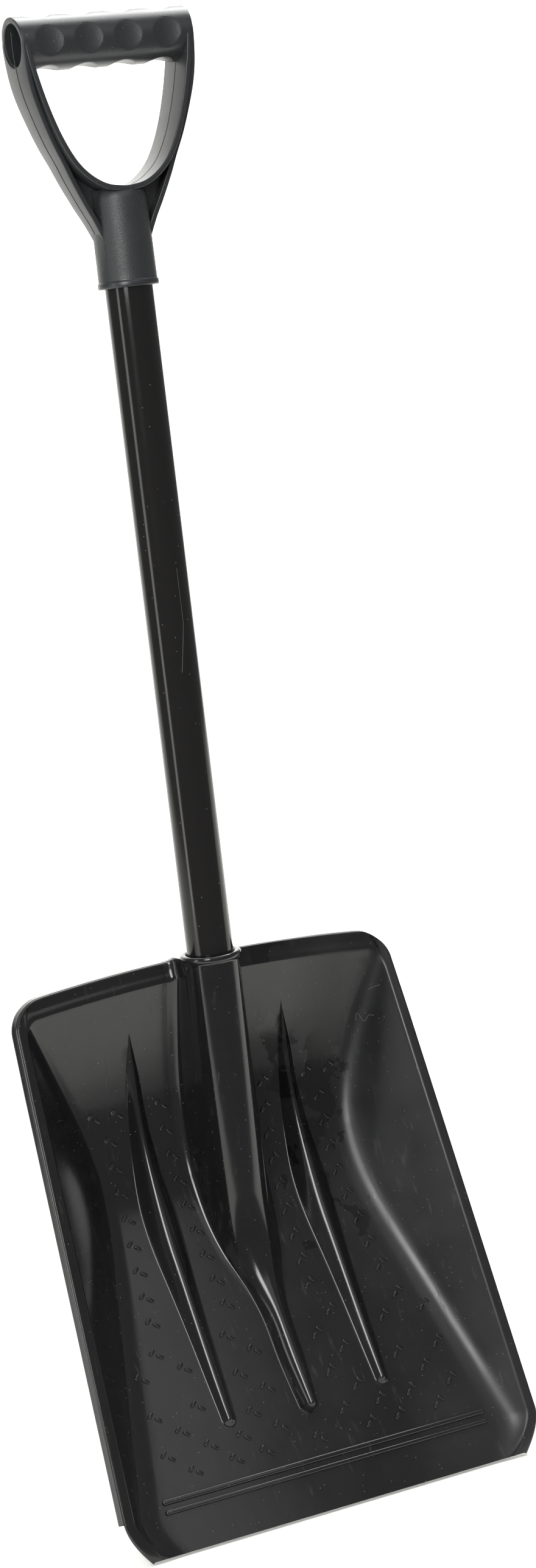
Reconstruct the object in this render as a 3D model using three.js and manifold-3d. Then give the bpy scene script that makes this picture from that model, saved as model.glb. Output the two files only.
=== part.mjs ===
// Compact snow shovel: a moulded plastic scoop on a plastic-skinned steel tube with a D-grip.
//
// Millimetres, +Z up along the shaft, +X to the right, the scoop opens towards -Y.
// The origin is the middle of the flat end face of the blade's cutting edge.

import * as THREE from 'three';
import { mergeVertices } from 'three/addons/utils/BufferGeometryUtils.js';
import Module from 'manifold-3d';

const wasm = await Module();
wasm.setup();

// ---------------------------------------------------------------- driving dimensions

const CLEARANCE = 0.3;

// The rim of the scoop lies in one plane, tilted against the shaft. Blade shapes are drawn in that
// plane: x across, v down the slope from the middle of the top edge, n behind the plane.
const RIM_TILT = 20.28 * Math.PI / 180;
const EDGE_V = 312.6;
const EDGE_N = 5.05;
const SHEET = 2.5;

const SHAFT_RADIUS = 13;
const SKIN = 0.5;
const CORE_WALL = 1.0;
const SOCKET_TOP_Z = 295;
const SHAFT_Y = 87.2;
const SHAFT_BOTTOM_Z = 190;
const SHAFT_TOP_Z = 697;

const SOCKET_RADIUS = 16;
const SOCKET_RING_RADIUS = 17.1;
const SOCKET_RING_HEIGHT = 3.4;
const SOCKET_BOTTOM_Z = 186;
const BORE_RADIUS = SHAFT_RADIUS + CLEARANCE;

const CROSSBAR_Z = 788.9;
const CROSSBAR_RADIUS = 14.5;
const CROSSBAR_HALF = 48.9;
const CROSSBAR_LEAN = Math.tan(4.78 * Math.PI / 180);
const CROSSBAR_BORE = 11.2;
const DIMPLE_PITCH = 22.5;
const DIMPLE_RADIUS = 8.25;
const DIMPLE_DEPTH = 2;

const GRIP_COLLAR_Z = 658.5;
const GRIP_COLLAR_RADIUS = 16.5;
const GRIP_SOCKET_FOOT_RADIUS = 15.8;
const GRIP_SOCKET_TOP_RADIUS = 15.5;
const GRIP_SOCKET_SHOULDER_Z = 705;
const GRIP_SHEET = 2.8;
const OPENING_BOTTOM_Z = 711.3;
const OPENING_TOP_Z = 790;
const OUTLINE_BOTTOM_Z = 683;
const OUTLINE_TOP_Z = 803;
const STRIP_ROOT = 6.7;
const STRIP_ROOT_Z = 684;

const SCREW_SHANK = 2;
const SCREW_HEAD = 4;
const BLADE_SCREW_Z = 208;
const GRIP_SCREW_Z = 676;

// ---------------------------------------------------------------- materials

const gripPlastic = new THREE.MeshStandardMaterial({ color: 0x46494d, roughness: 0.5, metalness: 0 });
const bladePlastic = new THREE.MeshStandardMaterial({ color: 0x141517, roughness: 0.3, metalness: 0 });
const skinPlastic = new THREE.MeshStandardMaterial({ color: 0x0b0b0c, roughness: 0.15, metalness: 0 });
const steel = new THREE.MeshStandardMaterial({ color: 0x9b9da0, roughness: 0.35, metalness: 1 });

// ---------------------------------------------------------------- solids

function toManifold(geometry) {
  const bare = geometry.clone();
  bare.deleteAttribute('normal');
  bare.deleteAttribute('uv');
  const merged = mergeVertices(bare, 1e-5);
  const vertProperties = new Float32Array(merged.attributes.position.array);
  const triVerts = new Uint32Array(merged.index.array);
  return new wasm.Manifold(new wasm.Mesh({ numProp: 3, vertProperties, triVerts }));
}

function toGeometry(solid) {
  const mesh = solid.getMesh();
  const geometry = new THREE.BufferGeometry();
  geometry.setAttribute('position', new THREE.BufferAttribute(new Float32Array(mesh.vertProperties), 3));
  geometry.setIndex(new THREE.BufferAttribute(new Uint32Array(mesh.triVerts), 1));
  geometry.computeVertexNormals();
  return geometry;
}

// A solid turned about the Z axis through (0, SHAFT_Y), from a list of [radius, z] corners.
function turned(profile, segments) {
  const points = profile.map(([radius, z]) => new THREE.Vector2(radius, z));
  points.push(points[0].clone());
  const geometry = new THREE.LatheGeometry(points, segments);
  geometry.rotateX(Math.PI / 2);
  geometry.translate(0, SHAFT_Y, 0);
  return toManifold(outward(geometry));
}

// Turns a closed geometry's faces round where they point inwards.
function outward(geometry) {
  const bare = geometry.clone();
  bare.deleteAttribute('normal');
  bare.deleteAttribute('uv');
  const merged = mergeVertices(bare, 1e-5);
  const p = merged.attributes.position;
  const index = merged.index.array;
  const a = new THREE.Vector3();
  const b = new THREE.Vector3();
  const c = new THREE.Vector3();
  let volume = 0;
  for (let i = 0; i < index.length; i += 3) {
    a.fromBufferAttribute(p, index[i]);
    b.fromBufferAttribute(p, index[i + 1]);
    c.fromBufferAttribute(p, index[i + 2]);
    volume += a.dot(b.cross(c));
  }
  if (volume < 0) {
    for (let i = 0; i < index.length; i += 3) {
      [index[i], index[i + 1]] = [index[i + 1], index[i]];
    }
  }
  return merged;
}

function rod(radius, z0, z1, segments = 32) {
  return turned([[0, z0], [radius, z0], [radius, z1], [0, z1]], segments);
}

function box(x0, x1, y0, y1, z0, z1) {
  const geometry = new THREE.BoxGeometry(x1 - x0, y1 - y0, z1 - z0);
  geometry.translate((x0 + x1) / 2, (y0 + y1) / 2, (z0 + z1) / 2);
  return toManifold(geometry);
}

// A rod along Y through (0, z), from y0 to y1.
function crossRod(radius, y0, y1, z, segments = 16) {
  const geometry = new THREE.CylinderGeometry(radius, radius, y1 - y0, segments);
  geometry.translate(0, (y0 + y1) / 2, z);
  return toManifold(geometry);
}

// ---------------------------------------------------------------- small maths

function clamp(value, low, high) {
  return Math.min(Math.max(value, low), high);
}

// The smaller of two values, with a rounded change-over as wide as k.
function smoothMin(a, b, k) {
  const h = Math.max(0, 1 - Math.abs(a - b) / k);
  return Math.min(a, b) - h * h * k / 4;
}

function smoothMax(a, b, k) {
  return -smoothMin(-a, -b, k);
}

// A smooth curve through [place, value] pairs.
function through(pairs) {
  const points = pairs.map(([place, value]) => new THREE.Vector2(place, value));
  return (place) => {
    const last = points.length - 1;
    if (place <= points[0].x) return points[0].y;
    if (place >= points[last].x) return points[last].y;
    let i = 0;
    while (points[i + 1].x < place) i++;
    const slope = (j) => {
      const before = points[Math.max(j - 1, 0)];
      const after = points[Math.min(j + 1, last)];
      return (after.y - before.y) / (after.x - before.x);
    };
    const span = points[i + 1].x - points[i].x;
    const t = (place - points[i].x) / span;
    const s = 1 - t;
    return points[i].y * s * s * (1 + 2 * t) + slope(i) * span * t * s * s
      + points[i + 1].y * t * t * (1 + 2 * s) - slope(i + 1) * span * s * t * t;
  };
}

// ---------------------------------------------------------------- blade

const RIM_CREST_TOP = 113.27;
const RIM_CREST_SPREAD = 0.03836;
const SIDE_FLANGE = 4.7;
const TOP_FLANGE = 9.3;
const TOP_START = 4.5;
const TOP_ARCH = 4.4;
const TOP_ARCH_AT = 90;
const CORNER_RADIUS = 15;
const LIP_FLARE = 2.6;
const LIP_DEPTH = 5.8;
const LIP_END_V = 290;
const LIP_SHEET = 1.9;
const EDGE_FLARE = 1.1;
const EDGE_DEPTH = 1.3;
const REAR_INSET = 1.7;
const FRONT_RIB_LENGTH = 197;
const FRONT_RIB_WIDTH = 3;
const FRONT_RIB_HEIGHT = 0.8;
const FRONT_RIB_V = [285.2, 290.6];
const FRONT_CORNER_INSET = 12.2;
const FRONT_CORNER_DROP = 3.2;
const BACK_REACH = 94.2;
const BACK_LENGTH = 146.4;
const FLOOR_SLOPE = 0.211;
const FLOOR_EDGE_N = 3.8;
const FLOOR_BEND = 26;
const WALL_SLOPE = 1.1;
const WALL_FILLET = 8;
const RIB_X = 47;
const RIB_START_V = 38;
const RIB_END_V = 256;
const RIB_NOSE = 4.3;
const RIB_BLUNT = 0.3;
const HUMP_END_V = 260;
const HUMP_RISE = 8;
const HUMP_BEND = 16;
const MOUND_START_V = 150;
const MOUND_LENGTH = 50;
const MOUND_FILLET = 1.2;
const HUMP_FILLET = 7;
const NOSE_RADIUS = 5.4;
const ARC_SHARE = 0.8;
const ARC_DROP = 0.6;

const ribHalfWidth = through([
  [RIB_START_V, 0.3], [60, 4.2], [82, 5.8], [105, 7.8], [130, 10], [150, 10],
  [181, 7.8], [205, 6.4], [229, 5.4], [250, 4.3],
]);
const ribHeight = through([
  [RIB_START_V, 0.2], [70, 4], [100, 7], [130, 8.5], [164, 7], [188, 5.4], [214, 4], [246, 3],
]);
const humpHalfWidth = through([
  [0, 15.5], [30, 16.5], [60, 17.9], [110, 18.7], [135, 18.7], [150, 18],
  [167, 15.8], [180, 12.4], [190, 10], [205, 7.8], [228, 7.3], [245, 6.2], [254, 5.4],
]);

function toObject(x, v, n) {
  const dv = EDGE_V - v;
  const dn = n - EDGE_N;
  return new THREE.Vector3(
    x,
    dv * Math.sin(RIM_TILT) + dn * Math.cos(RIM_TILT),
    dv * Math.cos(RIM_TILT) - dn * Math.sin(RIM_TILT),
  );
}

// How far the front corner of the side has turned in, 0 behind the lip's end and 1 at the edge.
function frontTurn(v) {
  return Math.pow(clamp((v - LIP_END_V) / (EDGE_V - LIP_END_V), 0, 1), 1.7);
}

function crestHalfWidth(v) {
  return RIM_CREST_TOP + RIM_CREST_SPREAD * v - FRONT_CORNER_INSET * frontTurn(v);
}

function topArch(x) {
  return TOP_START + TOP_ARCH * (x / TOP_ARCH_AT) ** 2;
}

function rimLevel(v) {
  return FRONT_CORNER_DROP * frontTurn(v);
}

// Depth of the scoop's plain surface; offset moves it backwards by that much, square to itself.
function basin(x, v, offset) {
  const ax = Math.abs(x);
  const u = v - topArch(x) - TOP_FLANGE;
  const back = (u > 0 ? BACK_REACH * (1 - Math.exp(-u / BACK_LENGTH)) : BACK_REACH / BACK_LENGTH * u);
  const floor = FLOOR_EDGE_N + FLOOR_SLOPE * (EDGE_V - v);
  const slope = WALL_SLOPE + 0.2 * Math.max(0, 1 - v / 110);
  const wall = slope * (crestHalfWidth(v) - SIDE_FLANGE - ax);
  const bottom = smoothMin(back + offset * 1.15, floor + offset * 1.02, FLOOR_BEND);
  return smoothMin(bottom, wall + offset * 1.49, WALL_FILLET);
}

function smoothStep(t) {
  const s = clamp(t, 0, 1);
  return s * s * (3 - 2 * s);
}

function plainSurface(x, v, offset) {
  return smoothMax(rimLevel(v) + offset, basin(x, v, offset), 1.5);
}

function ribRise(x, v, offset) {
  if (v < RIB_START_V) return 0;
  const end = RIB_END_V - RIB_NOSE;
  const half = ribHalfWidth(Math.min(v, end)) - 0.45 * offset;
  if (half <= 0.3) return 0;
  const across = (Math.abs(x) - RIB_X) / half;
  const along = Math.max(0, v - end) / (RIB_NOSE - 0.3 * offset);
  const s = Math.hypot(across, along);
  if (s >= 1) return 0;
  const profile = 1 - (Math.hypot(s, RIB_BLUNT) - RIB_BLUNT) / (Math.hypot(1, RIB_BLUNT) - RIB_BLUNT);
  return ribHeight(Math.min(v, end)) * profile;
}

function socketFront(v) {
  const axis = (v - 5.72) * Math.tan(RIM_TILT) - 15.48;
  return axis - SOCKET_RADIUS / Math.cos(RIM_TILT);
}

// The hump that carries the shaft's socket and runs out into a rounded nose on the floor.
function humpSurface(x, v, plain, offset) {
  const noseStart = HUMP_END_V - NOSE_RADIUS;
  const along = Math.max(0, v - noseStart) / NOSE_RADIUS;
  const half = humpHalfWidth(Math.min(v, noseStart)) * Math.sqrt(Math.max(0, 1 - along * along));
  if (half < 0.4) return plain;
  const base = half - 0.4 * offset;
  const middle = plainSurface(0, v, offset);
  const rise = HUMP_RISE * (1 - 0.75 * along * along);
  const crest = Math.min(smoothMin(socketFront(v), middle - rise, HUMP_BEND) + 0.2 * offset, middle - 0.4);
  const height = plain - crest;
  if (height <= 0) return plain;
  const fillet = Math.min(HUMP_FILLET, 0.22 * height);
  const arcEnd = ARC_SHARE * Math.min(base, SOCKET_RADIUS);
  const arcRadius = arcEnd / ARC_SHARE;
  const arcDrop = Math.min(arcRadius * (1 - ARC_DROP) / Math.cos(RIM_TILT), 0.6 * height);
  const ax = Math.abs(x);
  if (ax >= base + fillet) return plain;
  const share = smoothStep((v - MOUND_START_V) / MOUND_LENGTH);
  const mound = plain - height * (1 - (ax / base) ** 2);
  const softMound = smoothMin(plain, mound, Math.min(MOUND_FILLET, 0.15 * height));
  const ridge = humpRidge(ax, base, plain, crest, fillet, arcEnd, arcDrop);
  return ridge * (1 - share) + softMound * share;
}

// Cross-section of the hump round the socket: a round top, straight flanks and a hollow foot.
function humpRidge(ax, base, plain, crest, fillet, arcEnd, arcDrop) {
  const arcRadius = arcEnd / ARC_SHARE;
  if (ax <= arcEnd) {
    const bulge = (arcRadius - Math.sqrt(arcRadius ** 2 - ax * ax)) / (arcRadius * (1 - ARC_DROP));
    return crest + arcDrop * bulge;
  }
  if (ax <= base) {
    const t = (ax - arcEnd) / (base - arcEnd);
    return crest + arcDrop + (plain - fillet - crest - arcDrop) * t;
  }
  const t = 1 - (ax - base) / fillet;
  return plain - fillet * (1 - Math.sqrt(1 - t * t));
}

function bladeSurface(x, v, offset) {
  const plain = plainSurface(x, v, offset);
  return humpSurface(x, v, plain, offset) - ribRise(x, v, offset);
}

// Places of the blade's grid: columns follow the hump, the ribs and the wall.
function columnsAt(v) {
  const half = humpHalfWidth(Math.min(v, HUMP_END_V - NOSE_RADIUS));
  const rib = Math.max(ribHalfWidth(clamp(v, RIB_START_V, RIB_END_V - RIB_NOSE)), 1.2);
  const crest = crestHalfWidth(v);
  const inner = crest - SIDE_FLANGE;
  const depth = basin(RIB_X + 25, v, 0);
  const foot = Math.min(inner - 3, inner - Math.max(depth, 3) / WALL_SLOPE);
  const right = [
    0.3 * half, 0.56 * half, ARC_SHARE * Math.min(half, SOCKET_RADIUS), half, half + 2, half + 7,
    RIB_X - rib, RIB_X - 0.5 * rib, RIB_X, RIB_X + 0.5 * rib, RIB_X + rib,
    Math.max((RIB_X + rib + foot) / 2, RIB_X + rib + 1), Math.max(foot - 4, RIB_X + rib + 2), foot + 2,
    (foot + 2 + inner) / 2, inner - 0.6, inner + 0.6, crest,
  ];
  return [...right.map((x) => -x).reverse(), 0, ...right];
}

const ROWS = [
  0, 3, 6.5, 9.9, 11.5, 17, 28, 40, 52, 66, 80, 94, 108, 122, 136, 150, 164, 178, 192, 208, 226, 244, 252,
  256, 260, 275, LIP_END_V, LIP_END_V + 0.6, 298, 306, EDGE_V,
];

// Moves a place of the square-cornered grid so that the two top corners become round.
function roundCorner(x, v) {
  const width = crestHalfWidth(v);
  const top = topArch(width);
  const p = (Math.abs(x) - (width - CORNER_RADIUS)) / CORNER_RADIUS;
  const q = (top + CORNER_RADIUS - v) / CORNER_RADIUS;
  if (p <= 0 || q <= 0) return [x, v];
  const px = p * Math.sqrt(1 - q * q / 2);
  const qx = q * Math.sqrt(1 - p * p / 2);
  return [Math.sign(x) * (width - CORNER_RADIUS + px * CORNER_RADIUS), top + CORNER_RADIUS - qx * CORNER_RADIUS];
}

function bladeShell() {
  const positions = [];
  const triangles = [];
  const add = (point) => positions.push(point.x, point.y, point.z) / 3 - 1;
  const quad = (a, b, c, d) => triangles.push(a, b, c, a, c, d);
  const places = ROWS.map((row) => {
    const shift = Math.max(0, 1 - row / 60);
    return columnsAt(row).map((x) => roundCorner(x, row + topArch(x) * shift));
  });
  const front = places.map((row) => row.map(([x, v]) => add(toObject(x, v, bladeSurface(x, v, 0)))));
  const rear = places.map((row) => row.map(([x, v]) => {
    const inset = Math.abs(x) > crestHalfWidth(v) - REAR_INSET && v <= LIP_END_V ? REAR_INSET : 0;
    return add(toObject(x - Math.sign(x) * inset, v, bladeSurface(x, v, SHEET)));
  }));
  const lastRow = ROWS.length - 1;
  const lastColumn = places[0].length - 1;
  for (let r = 0; r < lastRow; r++) {
    for (let c = 0; c < lastColumn; c++) {
      quad(front[r][c], front[r + 1][c], front[r + 1][c + 1], front[r][c + 1]);
      quad(rear[r][c], rear[r][c + 1], rear[r + 1][c + 1], rear[r + 1][c]);
    }
  }
  // The border runs up the left side, along the top and down the right side.
  const border = [];
  for (let r = lastRow; r > 0; r--) border.push([r, 0]);
  for (let c = 0; c < lastColumn; c++) border.push([0, c]);
  for (let r = 0; r <= lastRow; r++) border.push([r, lastColumn]);
  const point = (list, i) => places[list[i][0]][list[i][1]];
  const loops = border.map(([r, c], i) => {
    const [x, v] = places[r][c];
    const before = point(border, Math.max(i - 1, 0));
    const after = point(border, Math.min(i + 1, border.length - 1));
    const out = new THREE.Vector2(after[1] - before[1], -(after[0] - before[0])).normalize();
    const lipped = v <= LIP_END_V;
    const flare = lipped ? LIP_FLARE : EDGE_FLARE;
    const depth = lipped ? LIP_DEPTH : EDGE_DEPTH;
    const back = flare - LIP_SHEET;
    const level = bladeSurface(x, v, 0);
    const outer = add(toObject(x + out.x * flare, v + out.y * flare, level + depth));
    const inner = add(toObject(x + out.x * back, v + out.y * back, level + depth + 0.5));
    return [front[r][c], outer, inner, rear[r][c]];
  });
  for (let i = 0; i + 1 < loops.length; i++) {
    for (let k = 0; k < 3; k++) {
      quad(loops[i][k], loops[i + 1][k], loops[i + 1][k + 1], loops[i][k + 1]);
    }
  }
  for (let c = 0; c < lastColumn; c++) {
    quad(front[lastRow][c], rear[lastRow][c], rear[lastRow][c + 1], front[lastRow][c + 1]);
  }
  const first = loops[0];
  const last = loops[loops.length - 1];
  triangles.push(first[0], first[1], first[2], first[0], first[2], first[3]);
  triangles.push(last[0], last[2], last[1], last[0], last[3], last[2]);
  const geometry = new THREE.BufferGeometry();
  geometry.setAttribute('position', new THREE.BufferAttribute(new Float32Array(positions), 3));
  geometry.setIndex(triangles);
  return toManifold(outward(geometry));
}

// A low bar across the floor near the edge, its ends rounded, sunk a little into the floor.
function frontRib(v) {
  const half = FRONT_RIB_WIDTH / 2;
  const shape = new THREE.Shape();
  shape.absarc(FRONT_RIB_LENGTH / 2 - half, 0, half, -Math.PI / 2, Math.PI / 2);
  shape.absarc(half - FRONT_RIB_LENGTH / 2, 0, half, Math.PI / 2, Math.PI * 1.5);
  const options = { depth: FRONT_RIB_HEIGHT + 1, bevelEnabled: false, curveSegments: 5 };
  const geometry = new THREE.ExtrudeGeometry(shape, options);
  geometry.rotateX(Math.PI / 2 - RIM_TILT - Math.atan(FLOOR_SLOPE));
  const seat = toObject(0, v, bladeSurface(0, v, 1));
  geometry.translate(seat.x, seat.y, seat.z);
  return toManifold(outward(geometry));
}

function bladeSolid() {
  const ringZ = SOCKET_TOP_Z - SOCKET_RING_HEIGHT;
  const ringInside = BORE_RADIUS + 0.7;
  const ring = turned([
    [ringInside, ringZ - 3], [SOCKET_RADIUS, ringZ - 3], [SOCKET_RING_RADIUS, ringZ + 0.4],
    [SOCKET_RING_RADIUS, SOCKET_TOP_Z - 1], [SOCKET_RING_RADIUS - 1, SOCKET_TOP_Z],
    [ringInside, SOCKET_TOP_Z],
  ], 40);
  const trimHalf = SOCKET_RADIUS + 10;
  const trim = box(-trimHalf, trimHalf, 40, SHAFT_Y + SOCKET_RADIUS, SOCKET_TOP_Z - 2, SOCKET_TOP_Z + 30);
  return bladeShell()
    .subtract(trim)
    .add(frontRib(FRONT_RIB_V[0]))
    .add(frontRib(FRONT_RIB_V[1]))
    .add(rod(SOCKET_RADIUS - 0.4, SOCKET_BOTTOM_Z, SOCKET_TOP_Z - 0.5, 40))
    .add(ring)
    .subtract(rod(BORE_RADIUS, SHAFT_BOTTOM_Z - CLEARANCE, SOCKET_TOP_Z + 20, 40))
    .subtract(crossRod(SCREW_SHANK + CLEARANCE, SHAFT_Y, SHAFT_Y + 40, BLADE_SCREW_Z))
    .subtract(crossRod(SCREW_HEAD + 1, SHAFT_Y + SOCKET_RADIUS - 0.6, SHAFT_Y + 40, BLADE_SCREW_Z));
}

// ---------------------------------------------------------------- grip

// Half widths of the grip against height.
const openingHalf = through([
  [OPENING_BOTTOM_Z, 1], [712.5, 9], [716, 16.3], [721.5, 22.8], [728, 27.6], [738, 32.6], [747, 36],
  [756, 38.8], [766, 41.4], [778, 43.9], [790, 45.5],
]);
const outlineHalf = through([
  [OUTLINE_BOTTOM_Z, 13.6], [694, 18.5], [702, 22.7], [715, 28.9], [725, 33.1], [736, 38], [748, 42.4],
  [762, 46.6], [774, 48.6], [789, 49.2], [803.4, 48.4],
]);

function prism(outline, y0, y1) {
  const shape = new THREE.Shape(outline.map(([x, z]) => new THREE.Vector2(x, z)));
  const geometry = new THREE.ExtrudeGeometry(shape, { depth: y1 - y0, bevelEnabled: false });
  geometry.rotateX(Math.PI / 2);
  geometry.translate(0, y1, 0);
  return toManifold(outward(geometry));
}

// A closed outline from a half width, mirrored about the middle, from one height to another.
function mirrored(half, z0, z1, steps, grow = 0) {
  const side = [];
  for (let i = 0; i <= steps; i++) {
    const z = z0 + (z1 - z0) * i / steps;
    side.push([Math.max(half(z) + grow, 0.5), z]);
  }
  return [...side, ...side.map(([x, z]) => [-x, z]).reverse()];
}

function crossbar() {
  const around = 28;
  const along = 36;
  const positions = [];
  const triangles = [];
  const ringStart = [];
  const addRing = (share, radiusAt) => {
    ringStart.push(positions.length / 3);
    for (let k = 0; k < around; k++) {
      const angle = 2 * Math.PI * k / around;
      const wide = radiusAt(share, angle);
      const y = wide * Math.cos(angle);
      const z = wide * Math.sin(angle);
      const half = CROSSBAR_HALF + CROSSBAR_LEAN * z;
      positions.push(share * half, SHAFT_Y + y, CROSSBAR_Z + z);
    }
  };
  const gripRadius = (share, angle) => {
    const x = share * CROSSBAR_HALF;
    let dip = 0;
    for (let row = 0; row < 4; row++) {
      for (let i = 0; i < 4; i++) {
        const turn = Math.atan2(Math.sin(angle - row * Math.PI / 2), Math.cos(angle - row * Math.PI / 2));
        const away = Math.hypot(x - (i - 1.5) * DIMPLE_PITCH, turn * CROSSBAR_RADIUS) / DIMPLE_RADIUS;
        dip = Math.max(dip, DIMPLE_DEPTH * (1 - away * away));
      }
    }
    return CROSSBAR_RADIUS - dip;
  };
  for (let i = 0; i <= along; i++) addRing(2 * i / along - 1, gripRadius);
  addRing(1, () => CROSSBAR_BORE);
  addRing(-1, () => CROSSBAR_BORE);
  const rings = ringStart.length;
  for (let i = 0; i < rings; i++) {
    for (let k = 0; k < around; k++) {
      const next = (k + 1) % around;
      const a = ringStart[i] + k;
      const b = ringStart[i] + next;
      const c = ringStart[(i + 1) % rings] + next;
      const d = ringStart[(i + 1) % rings] + k;
      triangles.push(a, b, c, a, c, d);
    }
  }
  const geometry = new THREE.BufferGeometry();
  geometry.setAttribute('position', new THREE.BufferAttribute(new Float32Array(positions), 3));
  geometry.setIndex(triangles);
  return toManifold(outward(geometry));
}

function crossbarCut(radius) {
  const geometry = new THREE.CylinderGeometry(radius, radius, 3 * CROSSBAR_HALF, 36);
  geometry.rotateZ(Math.PI / 2);
  geometry.translate(0, SHAFT_Y, CROSSBAR_Z);
  return toManifold(geometry);
}

// The room the outer strips keep to: narrow at the root, as deep as the crossbar above, and round over it.
function stripRoom() {
  const deep = CROSSBAR_RADIUS;
  const below = OUTLINE_BOTTOM_Z - 80;
  const outline = [[-deep, CROSSBAR_Z], [-STRIP_ROOT, STRIP_ROOT_Z], [-STRIP_ROOT, below]];
  outline.push([STRIP_ROOT, below], [STRIP_ROOT, STRIP_ROOT_Z]);
  const steps = 14;
  for (let i = 0; i < steps; i++) {
    const angle = Math.PI * i / steps;
    outline.push([deep * Math.cos(angle), CROSSBAR_Z + deep * Math.sin(angle)]);
  }
  const shape = new THREE.Shape(outline.map(([y, z]) => new THREE.Vector2(y, z)));
  const width = 4 * CROSSBAR_HALF;
  const geometry = new THREE.ExtrudeGeometry(shape, { depth: width, bevelEnabled: false });
  geometry.translate(0, 0, -width / 2);
  geometry.applyMatrix4(new THREE.Matrix4().set(0, 0, 1, 0, 1, 0, 0, SHAFT_Y, 0, 1, 0, 0, 0, 0, 0, 1));
  return toManifold(outward(geometry));
}

function gripSocket() {
  const foot = GRIP_COLLAR_Z;
  const top = OPENING_BOTTOM_Z - 0.1;
  return turned([
    [0, foot], [GRIP_COLLAR_RADIUS - 0.3, foot], [GRIP_COLLAR_RADIUS, foot + 0.6], [GRIP_COLLAR_RADIUS, foot + 2.9],
    [GRIP_COLLAR_RADIUS - 0.6, foot + 3.8], [GRIP_SOCKET_FOOT_RADIUS, foot + 4.2],
    [GRIP_SOCKET_TOP_RADIUS, GRIP_SOCKET_SHOULDER_Z], [BORE_RADIUS - 1.8, top], [0, top],
  ], 40);
}

function gripSolid() {
  const front = SHAFT_Y - CROSSBAR_RADIUS;
  const back = SHAFT_Y + CROSSBAR_RADIUS;
  const clearFront = SHAFT_Y - 3 * CROSSBAR_RADIUS;
  const clearBack = SHAFT_Y + 3 * CROSSBAR_RADIUS;
  const opening = prism(mirrored(openingHalf, OPENING_BOTTOM_Z, OPENING_TOP_Z, 20), clearFront, clearBack);
  const whole = mirrored(outlineHalf, OUTLINE_BOTTOM_Z, OUTLINE_TOP_Z, 18);
  const bandOutline = mirrored(openingHalf, OPENING_BOTTOM_Z - GRIP_SHEET, OPENING_TOP_Z, 20, GRIP_SHEET);
  const band = prism(bandOutline, front, back).subtract(opening);
  const hollow = mirrored(outlineHalf, OUTLINE_BOTTOM_Z - 40, OUTLINE_TOP_Z + 40, 32, -GRIP_SHEET);
  const strips = prism(whole, front, back).subtract(prism(hollow, clearFront, clearBack));
  const web = prism(whole, SHAFT_Y - GRIP_SHEET / 2, SHAFT_Y + GRIP_SHEET / 2).subtract(opening);
  return strips.intersect(stripRoom())
    .add(band)
    .add(web)
    .add(gripSocket())
    .subtract(crossbarCut(CROSSBAR_RADIUS - DIMPLE_DEPTH - 0.5))
    .add(crossbar())
    .subtract(crossbarCut(CROSSBAR_BORE - 0.02))
    .subtract(rod(BORE_RADIUS, GRIP_COLLAR_Z - 10, SHAFT_TOP_Z + CLEARANCE, 40))
    .subtract(crossRod(SCREW_SHANK + CLEARANCE, SHAFT_Y, clearBack, GRIP_SCREW_Z));
}

// ---------------------------------------------------------------- shaft and screws

function tube(outerRadius, innerRadius, z0, z1) {
  return turned([[innerRadius, z0], [outerRadius, z0], [outerRadius, z1], [innerRadius, z1]], 48);
}

function shaftTube(outerRadius, innerRadius) {
  const hole = SCREW_SHANK + CLEARANCE;
  return tube(outerRadius, innerRadius, SHAFT_BOTTOM_Z, SHAFT_TOP_Z)
    .subtract(crossRod(hole, SHAFT_Y, SHAFT_Y + 40, BLADE_SCREW_Z))
    .subtract(crossRod(hole, SHAFT_Y, SHAFT_Y + 40, GRIP_SCREW_Z));
}

// A pan-head self-tapping screw driven towards -Y, its head resting at the given depth.
function screwGeometry(seatY, z, length) {
  const outline = [
    [0, -length], [0.6, -length + 1.6], [SCREW_SHANK, -length + 4.5], [SCREW_SHANK, 0], [SCREW_HEAD, 0],
    [SCREW_HEAD, 1.2], [SCREW_HEAD - 0.9, 2.4], [1.4, 2.8], [1.2, 1.4], [0, 1.2],
  ].map(([radius, along]) => new THREE.Vector2(radius, along));
  const geometry = outward(new THREE.LatheGeometry(outline, 14));
  geometry.translate(0, seatY, z);
  return geometry;
}

const group = new THREE.Group();

function addNode(name, geometry, material) {
  const mesh = new THREE.Mesh(geometry, material);
  mesh.name = name;
  group.add(mesh);
}

const skinInner = SHAFT_RADIUS - SKIN;
const coreOuter = skinInner - CLEARANCE;
addNode('blade', toGeometry(bladeSolid()), bladePlastic);
addNode('d_grip', toGeometry(gripSolid()), gripPlastic);
addNode('shaft_skin', toGeometry(shaftTube(SHAFT_RADIUS, skinInner)), skinPlastic);
addNode('shaft_tube', toGeometry(shaftTube(coreOuter, coreOuter - CORE_WALL)), steel);
addNode('blade_screw', screwGeometry(SHAFT_Y + SOCKET_RADIUS - 0.2, BLADE_SCREW_Z, 12), steel);
addNode('grip_screw', screwGeometry(SHAFT_Y + GRIP_SOCKET_FOOT_RADIUS + CLEARANCE, GRIP_SCREW_Z, 12), steel);

export default group;
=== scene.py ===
"""Compact snow shovel: the visual model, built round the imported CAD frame.

Shapes are worked out in millimetres in the row frame (+Z up the shaft, +X right, scoop open to -Y)
and scaled to metres when a mesh is made.
"""

import math

import bmesh
import bpy
import numpy as np
from mathutils import Matrix, Vector


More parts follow.
